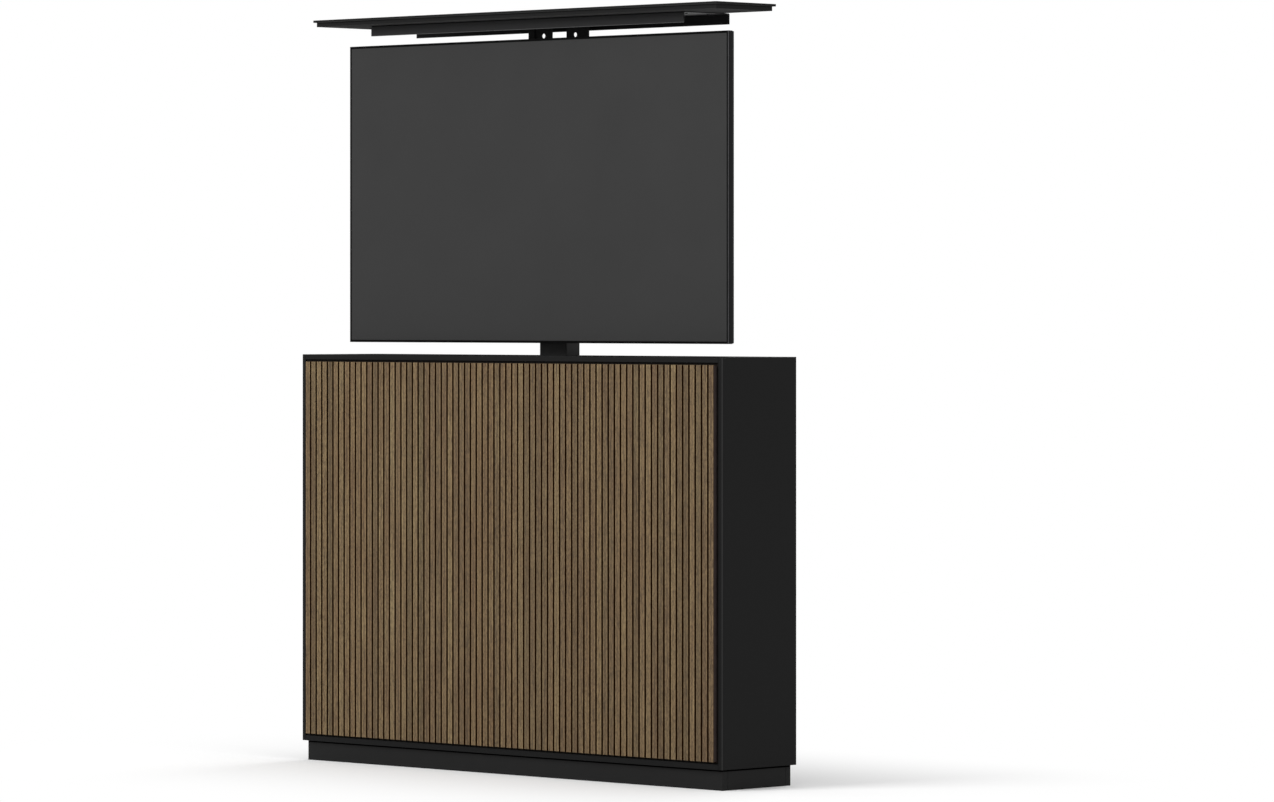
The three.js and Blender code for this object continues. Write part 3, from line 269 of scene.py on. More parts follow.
materials = {
    # Walnut veneer: brown, with streaks and figure of its own on each slat
    "walnut": walnutVeneer(),
    # Slat sides and the base board between the slats: a brown stain, darkened further as painted shade for
    # the deep grooves
    "groove": mottled("fibreboard_stain_and_painted_shade", {
        "dark": "#1f0d00", "light": "#2c1602", "cloudMm": 20, "grainMm": 2,
        "rough": (0.75, 0.85), "specular": 0, "bump": 0.3,
    }),
    # Sawn ends of that board: paler and greyer than its face, which carries stain and painted shade
    "panel_edge": mottled("fibreboard_sawn_panel_edge", {
        "dark": "#2e2624", "light": "#3a3230", "cloudMm": 20, "grainMm": 2,
        "rough": (0.7, 0.8), "specular": 0.12, "bump": 0.3,
    }),
    # Board sprayed with matt lacquer: an even black with a soft orange peel
    "black_lacquer": mottled("board_lacquered_sprayed", {
        "dark": "#0b0b0b", "light": "#0d0d0d", "cloudMm": 90, "grainMm": 3,  # real peel about 1 mm
        "rough": (0.46, 0.49), "specular": 0.09, "bump": 0.15,
    }),
    # Plinth boards, lacquered with a roller: black, a shade paler and duller than the carcass
    "plinth_lacquer": mottled("board_lacquered_rolled", {
        "dark": "#141414", "light": "#181818", "cloudMm": 70, "grainMm": 3,
        "rough": (0.53, 0.57), "specular": 0.1, "bump": 0.15,
    }),
    # Painted shadow along the top of the plinth boards, under the carcass's overhang: the deepest black
    "bare_core": mottled("fibreboard_painted_plinth_shadow", {
        "dark": "#030303", "light": "#060606", "cloudMm": 40, "grainMm": 2,
        "rough": (0.8, 0.9), "specular": 0, "bump": 0.3,
    }),
    # Corner of a lacquered board: a fine paler line, a painted highlight along the rounded corner
    "rubbed_corner": mottled("lacquer_painted_corner_highlight", {
        "dark": "#161616", "light": "#1d1d1d", "cloudMm": 90, "grainMm": 2,
        "rough": (0.35, 0.45), "specular": 0.24, "bump": 0.1,
    }),
    # Underside of the lid: a dead flat grey, far paler than the lacquer, as painted light for the light
    # thrown up from below onto it
    "lid_underside": mottled("board_painted_bounce_light", {
        "dark": "#383838", "light": "#424242", "cloudMm": 50, "grainMm": 2.5,
        "rough": (0.8, 0.9), "specular": 0, "bump": 0.2,
    }),
    # Fibreboard dyed through and sawn: flat black with a fine fleck
    "black_board": mottled("fibreboard_dyed_sawn", {
        "dark": "#161413", "light": "#201d1b", "cloudMm": 40, "grainMm": 2,
        "rough": (0.7, 0.85), "specular": 0.03, "bump": 0.4,
    }),
    # Birch strip, planed: pale, with long close grain
    "birch": mottled("birch_planed", {
        "dark": "#b0946c", "light": "#d3bb93", "cloudMm": 18, "grainMm": 2.4,
        "stretch": (0.06, 1, 1), "rough": (0.5, 0.65), "bump": 0.3,
    }),
    # Sheet steel, powder coated: black with a fine orange peel
    "black_steel": mottled("sheet_steel_powder_coated", {
        "dark": "#191919", "light": "#212122", "cloudMm": 30, "grainMm": 2.2,  # real peel about 1 mm
        "rough": (0.42, 0.52), "specular": 0.11, "bump": 0.35, "reliefMm": 0.08,
    }),
    # Column tubes, drawn and then sprayed: black, a touch glossier than the pressed parts
    "tube_coat": mottled("steel_tube_sprayed", {
        "dark": "#1b1b1b", "light": "#212121", "cloudMm": 40, "grainMm": 2,
        "rough": (0.42, 0.5), "specular": 0.17, "bump": 0.2,
    }),
    # Corner of a sheet: a paler, glossy line, a painted highlight along the corner
    "coated_corner": mottled("steel_corner_painted_highlight", {
        "dark": "#2a2a2b", "light": "#343435", "cloudMm": 60, "grainMm": 2,
        "rough": (0.25, 0.35), "specular": 1, "bump": 0.1,
    }),
    # Turned steel, zinc plated: bright, with rings left by the tool
    "zinc_steel": mottled("steel_turned_zinc_plated", {
        "dark": "#9fa3a6", "light": "#c3c6c8", "cloudMm": 9, "grainMm": 0.9,
        "stretch": (0.1, 0.1, 1), "metallic": 1, "rough": (0.26, 0.38), "bump": 0.25,
    }),
    # Aluminium, die cast: dull silver with a sandy skin
    "cast_alloy": mottled("aluminium_die_cast", {
        "dark": "#85888b", "light": "#a5a8aa", "cloudMm": 14, "grainMm": 1.3,
        "metallic": 1, "rough": (0.45, 0.6), "bump": 0.5, "reliefMm": 0.1,
    }),
    # Plastic housing, moulded in an etched tool: black with a fine leather-like grain
    "black_plastic": mottled("styrene_plastic_moulded", {
        "dark": "#141415", "light": "#1b1b1c", "cloudMm": 22, "grainMm": 1.6,
        "rough": (0.45, 0.55), "specular": 0.3, "bump": 0.4, "reliefMm": 0.06,
    }),
    # Nylon, machined: milky white, a little waxy
    "white_nylon": mottled("nylon_machined", {
        "dark": "#cfcdc4", "light": "#dedcd5", "cloudMm": 12, "grainMm": 1.1,
        "rough": (0.4, 0.5), "bump": 0.2,
    }),
    # Pressed contact metal inside sockets: dull brass
    "contact": mottled("brass_pressed", {
        "dark": "#a58a4a", "light": "#c4a866", "cloudMm": 5, "grainMm": 0.8,
        "metallic": 1, "rough": (0.3, 0.4), "bump": 0.2,
    }),
    # Soft vinyl sheath, extruded: black and faintly streaked along its run
    "lead_sheath": mottled("vinyl_sheath_extruded", {
        "dark": "#131313", "light": "#1c1c1c", "cloudMm": 8, "grainMm": 1,
        "stretch": (0.2, 1, 1), "rough": (0.4, 0.5), "specular": 0.4, "bump": 0.2,
    }),
    # Aluminium edge, brushed along its length and anodised black
    "tv_frame": mottled("aluminium_brushed_anodised", {
        "dark": "#0c0c0d", "light": "#131314", "cloudMm": 20, "grainMm": 0.9,
        "stretch": (0.04, 1, 0.04), "rough": (0.32, 0.42), "specular": 0.08, "bump": 0.2,
    }),
    # Front face of that edge, sprayed with enamel: the deepest black on the set
    "bezel_face": mottled("bezel_enamel_sprayed", {
        "dark": "#040404", "light": "#080808", "cloudMm": 20, "grainMm": 1.5,
        "rough": (0.35, 0.45), "specular": 0.02, "bump": 0.1,
    }),
    # Outer corner of that edge, ground bright before the thin anodising: a fine light line
    "ground_edge": mottled("aluminium_ground_anodised", {
        "dark": "#3e3e3f", "light": "#505052", "cloudMm": 40, "grainMm": 1,
        "metallic": 1, "rough": (0.3, 0.4), "bump": 0.1,
    }),
    # Rear shell of the television, moulded: black, with a coarser spark-eroded grain
    "tv_plastic": mottled("television_shell_moulded", {
        "dark": "#111112", "light": "#19191b", "cloudMm": 30, "grainMm": 2.2,
        "rough": (0.5, 0.62), "specular": 0.15, "bump": 0.5, "reliefMm": 0.08,
    }),
    # Screen with an etched anti-glare film: an even dark grey with a faint sparkle
    "tv_screen": mottled("screen_film_etched", {
        "dark": "#222222", "light": "#242424", "cloudMm": 160, "grainMm": 2, "grainShare": 0.3,
        "rough": (0.34, 0.38), "specular": 0.2, "bump": 0.06,
    }),
}
print("materials made:", len(materials))


def meshFrom(bm, name):
    mesh = bpy.data.meshes.new(name)
    bm.to_mesh(mesh)
    bm.free()
    return mesh


def addPiece(name, bm, body, slotName, looks=(), replaced=(), smoothAngle=None):
    mesh = meshFrom(bm, name)
    piece = addObject(name, mesh)
    for key in looks or (slotName,):
        mesh.materials.append(materials[key])
    if smoothAngle:
        mesh.polygons.foreach_set("use_smooth", [True] * len(mesh.polygons))
        mesh.set_sharp_from_angle(angle=math.radians(smoothAngle))
    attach(piece, body)
    if replaced:
        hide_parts(*replaced)
    return piece


# The mesh of an object with its modifiers and curves worked out
def finishedMesh(thing):
    bpy.context.view_layer.update()
    return bpy.data.meshes.new_from_object(thing.evaluated_get(bpy.context.evaluated_depsgraph_get()))


def cutAway(piece, cutter):
    tool = addObject("cutter", meshFrom(cutter, "cutter"))
    cut = piece.modifiers.new("cut", "BOOLEAN")
    cut.operation = "DIFFERENCE"
    cut.solver = "EXACT"
    cut.object = tool
    result = finishedMesh(piece)
    piece.modifiers.clear()
    piece.data = result
    bpy.data.objects.remove(tool)


def addBlock(bm, low, high):
    low, high = Vector(low), Vector(high)
    place = Matrix.LocRotScale((low + high) / 2, None, high - low)
    return bmesh.ops.create_cube(bm, size=1, matrix=place)["verts"]


def wholeMesh(bm):
    return bm.verts[:] + bm.edges[:] + bm.faces[:]


def vertsIn(geometry):
    return [item for item in geometry if isinstance(item, bmesh.types.BMVert)]


def edgesOf(verts):
    return list({edge for vert in verts for edge in vert.link_edges})


# Edges of a block along one axis: 0, 1 or 2 for X, Y or Z
def edgesAlong(bm, axis):
    return [edge for edge in bm.edges if edge.verts[0].co[axis] != edge.verts[1].co[axis]]


def roundEdges(bm, edges, radius, segments=2):
    bmesh.ops.bevel(
        bm, geom=edges, offset=radius, offset_type="OFFSET", segments=segments,
        profile=0.5, affect="EDGES", clamp_overlap=True, material=-1,
    )


def mergeVerts(bm, reach):
    bmesh.ops.remove_doubles(bm, verts=bm.verts[:], dist=reach)


def faceOutwards(bm):
    bmesh.ops.recalc_face_normals(bm, faces=bm.faces[:])


# Adds edges where a plane meets the mesh; a vertex within reach of the plane counts as on it
def sliceMesh(bm, point, normal, reach, clearOuter=False):
    bmesh.ops.bisect_plane(bm, geom=wholeMesh(bm), dist=reach, plane_co=point, plane_no=normal,
                           clear_outer=clearOuter)


# Repeats all that the mesh holds, each copy one step further
def repeatMesh(bm, count, step):
    first = wholeMesh(bm)
    for i in range(1, count):
        copied = bmesh.ops.duplicate(bm, geom=first)["geom"]
        bmesh.ops.translate(bm, verts=vertsIn(copied), vec=[i * size for size in step])


near = 0.1 * mm  # places this close count as the same
weldReach = 0.02 * mm  # vertices of a CAD node this close are one
flatAngle = math.radians(1)  # faces that meet at less than this are one
sharpAngle = math.radians(25)  # an edge that turns more than this is eased
squareOn = 0.9  # a normal with more than this along an axis counts as facing along it


# A copy of a CAD node as whole faces, not loose triangles
def wholeCopy(node):
    bm = bmesh.new()
    bm.from_mesh(nodes[node].data)
    mergeVerts(bm, weldReach)
    bmesh.ops.dissolve_limit(bm, angle_limit=flatAngle, verts=bm.verts[:], edges=bm.edges[:])
    return bm


def easeEdges(bm, radius):
    sharp = [edge for edge in bm.edges if edge.is_manifold and edge.calc_face_angle(0) > sharpAngle]
    roundEdges(bm, sharp, radius)


# Boards, with the radius of their edges in mm
boards = {
    "side_panel_left": 0.8, "side_panel_right": 0.8,
    "top_front_rail": 0.8, "top_rear_rail": 0.8, "top_side_rail_left": 0.8, "top_side_rail_right": 0.8,
    "bottom_panel": 0.8,
    "lid_top_board": 0.8, "lid_core_board": 0.6,
    "lid_rest_front": 0.5, "lid_rest_left": 0.5, "lid_rest_right": 0.5,
    "rear_stretcher": 1.0, "front_cleat_left": 0.8, "front_cleat_right": 0.8,
    "back_cleat_lower_left": 0.8, "back_cleat_lower_right": 0.8,
    "back_cleat_upper_left": 0.8, "back_cleat_upper_right": 0.8,
    "plinth_cross_rail_left": 0.8, "plinth_cross_rail_right": 0.8,
    "back_panel": 0.5, "backing_board": 0.5,
}

# Bent, moulded and machined pieces, with the radius of their corners in mm
pressedPieces = {
    "lift_base_plate": 0.8, "gear_housing": 1.5, "column_clamp": 0.9, "column_head": 1.0,
    "hang_plate": 0.5, "vesa_arm_left": 0.8, "vesa_arm_right": 0.8,
    "lid_bracket_left": 0.4, "lid_bracket_right": 0.4, "hood_channel": 0.95,
    "outer_guide_collar": 0.8, "middle_guide_collar": 0.8, "middle_foot_nut": 0.6, "inner_foot_nut": 0.6,
    "lead_clip": 0.4, "mains_inlet": 0.5, "control_box": 0.8, "tv_back_cover": 0.8, "tv_screen": 0.3,
}

# Faces near the front with a look of their own: which way they face, and the look. The looks are painted
# highlights on corners and painted light on the lid's underside
facedLooks = {
    # Painted highlight on the front corner of each side panel
    "side_panel_left": (((-1, -1, 0), "rubbed_corner"),),
    "side_panel_right": (((1, -1, 0), "rubbed_corner"),),
    # Painted highlight on the lid's lower front corner, painted light on its underside
    "lid_core_board": (((0, -1, -1), "rubbed_corner"), ((0, 0, -1), "lid_underside")),
    "lid_top_board": (((0, -1, -1), "rubbed_corner"), ((0, 0, -1), "lid_underside")),
    # Painted highlight on the hood's lower front corner
    "hood_channel": (((0, -1, -1), "coated_corner"),),
}
frontReach = 40 * mm  # a face counts as near the front up to here
facingCosine = 0.85  # of the angle within which a face counts as facing that way


def addEased(node, radius):
    bm = wholeCopy(node)
    easeEdges(bm, radius * mm)
    faced = facedLooks.get(node, ())
    for index, (facing, _) in enumerate(faced, 1):
        towards = Vector(facing).normalized()
        for face in bm.faces:
            nearFront = face.calc_center_median().y < frontReach
            if nearFront and face.normal.dot(towards) > facingCosine:
                face.material_index = index
    looks = (slots[node], *(look for _, look in faced))
    addPiece(f"{node}_eased", bm, bodyOf[node], slots[node], looks=looks, replaced=(node,))


# Plinth boards: a painted shadow along their top draws a dark line under the carcass
plinth = {
    "boards": ("plinth_front", "plinth_back", "plinth_left", "plinth_right"),
    "paintedShadowTop": 4 * mm,
    "edgeRadius": 0.6 * mm,
    "sliceReach": 0.001 * mm,
}


def addPlinth():
    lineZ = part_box("plinth_front")[1].z - plinth["paintedShadowTop"]
    for node in plinth["boards"]:
        bm = wholeCopy(node)
        easeEdges(bm, plinth["edgeRadius"])
        sliceMesh(bm, (0, 0, lineZ), (0, 0, 1), plinth["sliceReach"])
        # Faces above the line take the painted shadow
        for face in bm.faces:
            if face.calc_center_median().z > lineZ:
                face.material_index = 1
        addPiece(f"{node}_eased", bm, bodyOf[node], slots[node],
                 looks=("plinth_lacquer", "bare_core"), replaced=(node,))


# The veneer ends at the corners of a slat: its sides get the stain with painted groove shade, the panel's
# outer ends are sawn
def stainAndShadeSides(bm, low, high):
    for face in bm.faces:
        x = face.calc_center_median().x
        if abs(face.normal.x) > squareOn:
            outer = min(x - low.x, high.x - x) < near
            face.material_index = 2 if outer else 1


def addSlats():
    low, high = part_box(slat["panel"])
    pitch = slatPitch(low, high)
    rootY = low.y + slat["proud"]
    body = bodyOf[slat["panel"]]
    bm = bmesh.new()
    first = addBlock(bm, low, (low.x + pitch - slat["groove"], rootY, high.z))
    frontY = rootY - slat["edgeRadius"]
    front = [edge for edge in edgesOf(first) if min(vert.co.y for vert in edge.verts) < frontY]
    roundEdges(bm, front, slat["edgeRadius"])
    repeatMesh(bm, slat["count"], (pitch, 0, 0))
    stainAndShadeSides(bm, low, high)
    addPiece("walnut_slats", bm, body, "walnut",
             looks=("walnut", "groove", "panel_edge"), replaced=(slat["panel"],))
    base = bmesh.new()
    addBlock(base, (low.x, rootY, low.z), high)
    stainAndShadeSides(base, low, high)
    addPiece("slat_base_board", base, body, "walnut", looks=("groove", "groove", "panel_edge"))


# Television edge: black front face, a bright ground corner outside, brushed sides
televisionEdge = {
    "node": "tv_bezel_frame",
    "radius": 0.25 * mm,
    "groundWidth": 1.2 * mm,
    "frontNormal": -0.95,  # a face with less Y than this in its normal is the front
    "cornerNormal": -0.2,  # and one with less than this a rounded corner
}


def addTelevisionEdge():
    node = televisionEdge["node"]
    low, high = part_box(node)
    bm = wholeCopy(node)
    easeEdges(bm, televisionEdge["radius"])
    middle = (low + high) / 2
    half = (high - low) / 2
    for face in bm.faces:
        spot = face.calc_center_median()
        inwards = min(half.x - abs(spot.x - middle.x), half.z - abs(spot.z - middle.z))
        if face.normal.y < televisionEdge["frontNormal"]:
            face.material_index = 1
        elif face.normal.y < televisionEdge["cornerNormal"]:
            face.material_index = 2 if inwards < televisionEdge["groundWidth"] else 1
    addPiece("television_edge", bm, bodyOf[node], slots[node],
             looks=("tv_frame", "bezel_face", "ground_edge"), replaced=(node,))


# Tubes of the column, cold drawn, with round corners, all mm
tubes = {
    "walls": {"outer_tube": 3.0, "middle_tube": 2.5, "inner_tube": 2.5},
    "corner": 4.0,
    "cornerParts": 6,
}


def addTube(node, wall):
    low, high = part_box(node)
    bm = bmesh.new()
    addBlock(bm, low, high)
    roundEdges(bm, edgesAlong(bm, 2), tubes["corner"] * mm, tubes["cornerParts"])
    ends = [face for face in bm.faces if abs(face.normal.z) > squareOn]
    bmesh.ops.delete(bm, geom=ends, context="FACES_ONLY")
    faceOutwards(bm)
    bmesh.ops.solidify(bm, geom=bm.faces[:], thickness=wall * mm)
    addPiece(f"{node}_drawn", bm, bodyOf[node], slots[node], looks=("tube_coat",), replaced=(node,))


# Turned pieces: a profile of (radius, height) in mm, spun about an axis
def spinProfile(bm, profile, centre, axis, steps):
    centre, axis = Vector(centre), Vector(axis)
    side = axis.orthogonal().normalized()
    verts = []
    for radius, height in profile:
        verts.append(bm.verts.new(centre + side * (radius * mm) + axis * (height * mm)))
    edges = [bm.edges.new(pair) for pair in zip(verts, verts[1:])]
    bmesh.ops.spin(bm, geom=verts + edges, cent=centre, axis=axis, angle=2 * math.pi, steps=steps,
                   use_merge=True, use_duplicate=False, dvec=(0, 0, 0))
    mergeVerts(bm, 0.005 * mm)
    faceOutwards(bm)


motor = {
    "steps": 64,
    "can": ((0, 0), (20, 0), (24.2, 0.5), (25, 1.4), (25, 17), (24.4, 17.4), (24.4, 19), (25, 19.4),
            (25, 104), (24.4, 104.4), (24.4, 106), (25, 106.4), (25, 126.4), (24.4, 127.5), (23, 128),
            (17, 128), (17, 134.4), (16.4, 135.5), (15, 136), (0, 136)),
}


def addMotor():
    node = "lift_motor"
    low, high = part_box(node)
    bm = bmesh.new()
    start = (low.x, (low.y + high.y) / 2, (low.z + high.z) / 2)
    spinProfile(bm, motor["can"], start, (1, 0, 0), motor["steps"])
    addPiece("motor_can", bm, bodyOf[node], slots[node], replaced=(node,), smoothAngle=25)


grommet = {
    "steps": 64,
    "ring": ((25, 0), (29.7, 0), (29.7, 10.3), (36, 10.3), (36, 11.6), (35.4, 12.3), (34.2, 12.7),
             (27, 12.7), (25.6, 12.3), (25, 11.4), (25, 0)),
}


def addGrommet():
    node = "cable_grommet"
    low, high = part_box(node)
    bm = bmesh.new()
    start = ((low.x + high.x) / 2, low.y, (low.z + high.z) / 2)
    spinProfile(bm, grommet["ring"], start, (0, 1, 0), grommet["steps"])
    addPiece("grommet_ring", bm, bodyOf[node], slots[node], replaced=(node,), smoothAngle=25)


# Rear housing of the television: round corners, louvres and recesses for the sockets, all mm
housing = {
    "corner": 18, "cornerParts": 6, "taper": 8, "taperRise": 8, "rim": 1.5, "rimParts": 3,
    "sliceReach": 0.001,
    "overrun": 5,  # how far the cutters stand out behind
    "slotWidth": 4, "slotPitch": 12, "slotDepth": 4,
    "slotHeights": ((440, 38), (392, 38)),  # middle above the housing's foot, and length
    "slotSpans": ((-162, 162), (-404, -236), (236, 404)),
    "portRecess": ((-396, -252), (36, 96), 7),  # across, above the foot, and depth
    "mainsRecess": ((262, 336), (36, 84), 7),
}


def addHousing():
    node = "tv_rear_housing"
    low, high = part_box(node)
    bm = bmesh.new()
    addBlock(bm, low, high)
    roundEdges(bm, edgesAlong(bm, 1), housing["corner"] * mm, housing["cornerParts"])
    slopeY = high.y - housing["taperRise"] * mm
    sliceMesh(bm, (0, slopeY, 0), (0, 1, 0), housing["sliceReach"] * mm)
    back = [vert for vert in bm.verts if vert.co.y > high.y - near]
    middle = (low + high) / 2
    half = (high - low) / 2
    shrink = [1 - housing["taper"] * mm / size for size in (half.x, half.z)]
    bmesh.ops.scale(bm, vec=(shrink[0], 1, shrink[1]), verts=back, space=Matrix.Translation(-middle))
    behind = [edge for edge in bm.edges if all(vert.co.y > slopeY - near for vert in edge.verts)]
    rim = [edge for edge in behind if edge.calc_face_angle(0) > sharpAngle]
    roundEdges(bm, rim, housing["rim"] * mm, housing["rimParts"])
    piece = addPiece("television_housing", bm, bodyOf[node], slots[node], replaced=(node,))
    outY = high.y + housing["overrun"] * mm
    cutter = bmesh.new()
    for first, last in housing["slotSpans"]:
        for x in range(first, last + 1, housing["slotPitch"]):
            for height, length in housing["slotHeights"]:
                halfSlot = Vector((housing["slotWidth"], 0, length)) * mm / 2
                spot = Vector((x * mm, 0, low.z + height * mm))
                bottom = spot - halfSlot
                top = spot + halfSlot
                bottom.y = high.y - housing["slotDepth"] * mm
                top.y = outY
                addBlock(cutter, bottom, top)
    for (x0, x1), (z0, z1), depth in (housing["portRecess"], housing["mainsRecess"]):
        floor = (x0 * mm, high.y - depth * mm, low.z + z0 * mm)
        addBlock(cutter, floor, (x1 * mm, outY, low.z + z1 * mm))
    cutAway(piece, cutter)


# Sockets in the recesses of the housing: x, height above its foot, width, height, all mm
sockets = {
    "places": {
        "signal": ((-380, 72, 16, 6), (-356, 72, 16, 6), (-332, 72, 16, 6), (-306, 72, 14, 7),
                   (-284, 72, 14, 7), (-376, 50, 17, 13), (-348, 50, 9, 9), (-326, 50, 9, 9),
                   (-300, 50, 12, 12), (-272, 50, 12, 12)),
        "mains": ((299, 60, 26, 15),),
    },
    "looks": {"signal": ("zinc_steel", "black_plastic"), "mains": ("black_plastic", "black_plastic")},
    "rise": 2.4, "wall": 1.0, "well": 2.2,
}


def addSocketShell(bm, x, y, z, width, height):
    outer = (x + width / 2, y + sockets["rise"] * mm, z + height / 2)
    verts = addBlock(bm, (x - width / 2, y, z - height / 2), outer)
    faces = {face for vert in verts for face in vert.link_faces}
    mouth = [face for face in faces if face.normal.y > squareOn]
    bmesh.ops.inset_region(bm, faces=mouth, thickness=sockets["wall"] * mm)
    sunk = vertsIn(bmesh.ops.extrude_face_region(bm, geom=mouth)["geom"])
    bmesh.ops.delete(bm, geom=mouth, context="FACES_ONLY")
    bmesh.ops.translate(bm, verts=sunk, vec=(0, -sockets["well"] * mm, 0))
    for face in {face for vert in sunk for face in vert.link_faces}:
        face.material_index = 1


def addSockets():
    node = "tv_rear_housing"
    low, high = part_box(node)
    floorY = high.y - housing["portRecess"][2] * mm
    for name, places in sockets["places"].items():
        bm = bmesh.new()
        for x, height, wide, tall in places:
            addSocketShell(bm, x * mm, floorY, low.z + height * mm, wide * mm, tall * mm)
        addPiece(f"television_{name}_sockets", bm, bodyOf[node], "tv_plastic",
                 looks=sockets["looks"][name])


# Blades inside the mains inlet of the control box, all mm
inletBlades = {
    "size": (6.5, 1.6, 3.6),  # length, width, height
    "places": ((-6, -2), (6, -2), (0, 3)),
    "floor": 3,  # from the inlet's end on the box to the floor they stand on
    "sunk": 0.2,
    "tipRadius": 0.5,
}


def addInletBlades():
    node = "mains_inlet"
    low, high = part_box(node)
    middle = (low + high) / 2
    length, width, height = (size * mm for size in inletBlades["size"])
    bm = bmesh.new()
    for y, z in inletBlades["places"]:
        spot = Vector((low.x + inletBlades["floor"] * mm, middle.y + y * mm, middle.z + z * mm))
        blade = addBlock(bm, spot - Vector((inletBlades["sunk"] * mm, width / 2, height / 2)),
                         spot + Vector((length, width / 2, height / 2)))
        halfway = spot.x + length / 2
        tip = [edge for edge in edgesOf(blade) if all(vert.co.x > halfway for vert in edge.verts)]
        roundEdges(bm, tip, inletBlades["tipRadius"] * mm)
    addPiece("inlet_blades", bm, bodyOf[node], slots[node], looks=("contact",))


# The motor's lead, as a smooth round sheath along the route of its CAD solid, all mm
lead = {
    "radius": 3,
    "foot": 14,  # straight length at both ends
    "bend": 21,
    "endRise": 16.7,  # of the far end above the lowest run
    "ring": 5,
}


def addLead():
    node = "motor_lead"
    low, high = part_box(node)
    radius, foot, bend = (lead[key] * mm for key in ("radius", "foot", "bend"))
    y = (low.y + high.y) / 2
    startZ = high.z - radius
    floorZ = low.z + radius
    endZ = floorZ + lead["endRise"] * mm
    route = (
        (low.x, startZ), (low.x + foot, startZ),
        (low.x + foot + 2 * bend, floorZ), (high.x - foot - 2 * bend, floorZ),
        (high.x - foot, endZ), (high.x, endZ),
    )
    curve = bpy.data.curves.new("lead_route", "CURVE")
    curve.dimensions = "3D"
    curve.bevel_depth = radius
    curve.bevel_resolution = lead["ring"]
    curve.use_fill_caps = True
    spline = curve.splines.new("BEZIER")
    spline.bezier_points.add(len(route) - 1)
    for point, (x, z) in zip(spline.bezier_points, route):
        point.co = (x, y, z)
        point.handle_left = (x - bend, y, z)
        point.handle_right = (x + bend, y, z)
    # The lead runs straight from every other point to the next
    straight = Vector((foot / 3, 0, 0))
    for first in (0, 2, 4):
        here, there = spline.bezier_points[first:first + 2]
        here.handle_right = here.co + straight
        there.handle_left = there.co - straight
    holder = addObject("lead_route", curve)
    bm = bmesh.new()
    bm.from_mesh(finishedMesh(holder))
    bpy.data.objects.remove(holder)
    mergeVerts(bm, 0.01 * mm)
    faceOutwards(bm)
    addPiece("lead_sheath_round", bm, bodyOf[node], slots[node], replaced=(node,), smoothAngle=50)


# Lift screws, all mm: three-start thread, rolled; one turn lifts by the lead
thread = {
    "lead": 12, "starts": 3, "steps": 24, "depth": 1.5,
    "crest": 0.42, "flank": 0.12,  # shares of the spacing between two ridges
    "sliceReach": 0.0001, "endReach": 0.001, "mergeReach": 0.003, "turnReach": 0.01,
    "lowerRadius": 7, "keySlot": 4, "keyRoot": 4, "slotWall": 0.1,
    "upperRadius": 11, "bore": 7.6, "boreSteps": 32, "key": 3.2, "keyTip": 4.6, "overrun": 1,
}


# One turn of the thread is swept up its helix and repeated, then cut level at both ends
def threadSurface(low, high, y, radius):
    spacing = thread["lead"] / thread["starts"]
    root = radius - thread["depth"]
    points = []
    for start in range(thread["starts"]):
        foot = start * spacing
        points.append((root, foot))
        points.append((root, foot + spacing * (1 - thread["crest"] - 2 * thread["flank"])))
        points.append((radius, foot + spacing * (1 - thread["crest"] - thread["flank"])))
        points.append((radius, foot + spacing * (1 - thread["flank"])))
    points.append((root, thread["lead"]))
    # It starts a turn and a half below the foot and has three turns more than the screw
    centre = Vector((0, y, low.z - 1.5 * thread["lead"] * mm))
    turns = math.ceil((high.z - low.z) / (thread["lead"] * mm)) + 3
    bm = bmesh.new()
    verts = [bm.verts.new(centre + Vector((across * mm, 0, height * mm))) for across, height in points]
    edges = [bm.edges.new(pair) for pair in zip(verts, verts[1:])]
    rise = thread["lead"] * mm / thread["steps"]
    bmesh.ops.spin(bm, geom=verts + edges, cent=centre, axis=(0, 0, 1), angle=2 * math.pi,
                   steps=thread["steps"], use_merge=False, use_duplicate=False, dvec=(0, 0, rise))
    repeatMesh(bm, turns, (0, 0, thread["lead"] * mm))
    mergeVerts(bm, thread["turnReach"] * mm)
    for z, side in ((low.z, -1), (high.z, 1)):
        sliceMesh(bm, (0, 0, z), (0, 0, side), thread["sliceReach"] * mm, clearOuter=True)
    mergeVerts(bm, thread["mergeReach"] * mm)
    return bm


def closeEnds(bm, low, high):
    for z in (low.z, high.z):
        rim = [edge for edge in bm.edges if edge.is_boundary
               and all(abs(vert.co.z - z) < thread["endReach"] * mm for vert in edge.verts)]
        bmesh.ops.contextual_create(bm, geom=rim)
    faceOutwards(bm)


def addLowerScrew():
    node = "lower_screw"
    low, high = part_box(node)
    y = (low.y + high.y) / 2
    bm = threadSurface(low, high, y, thread["lowerRadius"])
    half = thread["keySlot"] * mm / 2
    wall = thread["slotWall"] * mm
    root = thread["keyRoot"] * mm
    for offset in (half, half - wall):
        for sign in (-1, 1):
            sliceMesh(bm, (0, y + sign * offset, 0), (0, 1, 0), thread["sliceReach"] * mm)
    for vert in bm.verts:
        if vert.co.x > root and abs(vert.co.y - y) < half - 0.5 * wall:
            vert.co.x = root
    closeEnds(bm, low, high)
    addPiece("lower_screw_threaded", bm, bodyOf[node], slots[node], replaced=(node,))


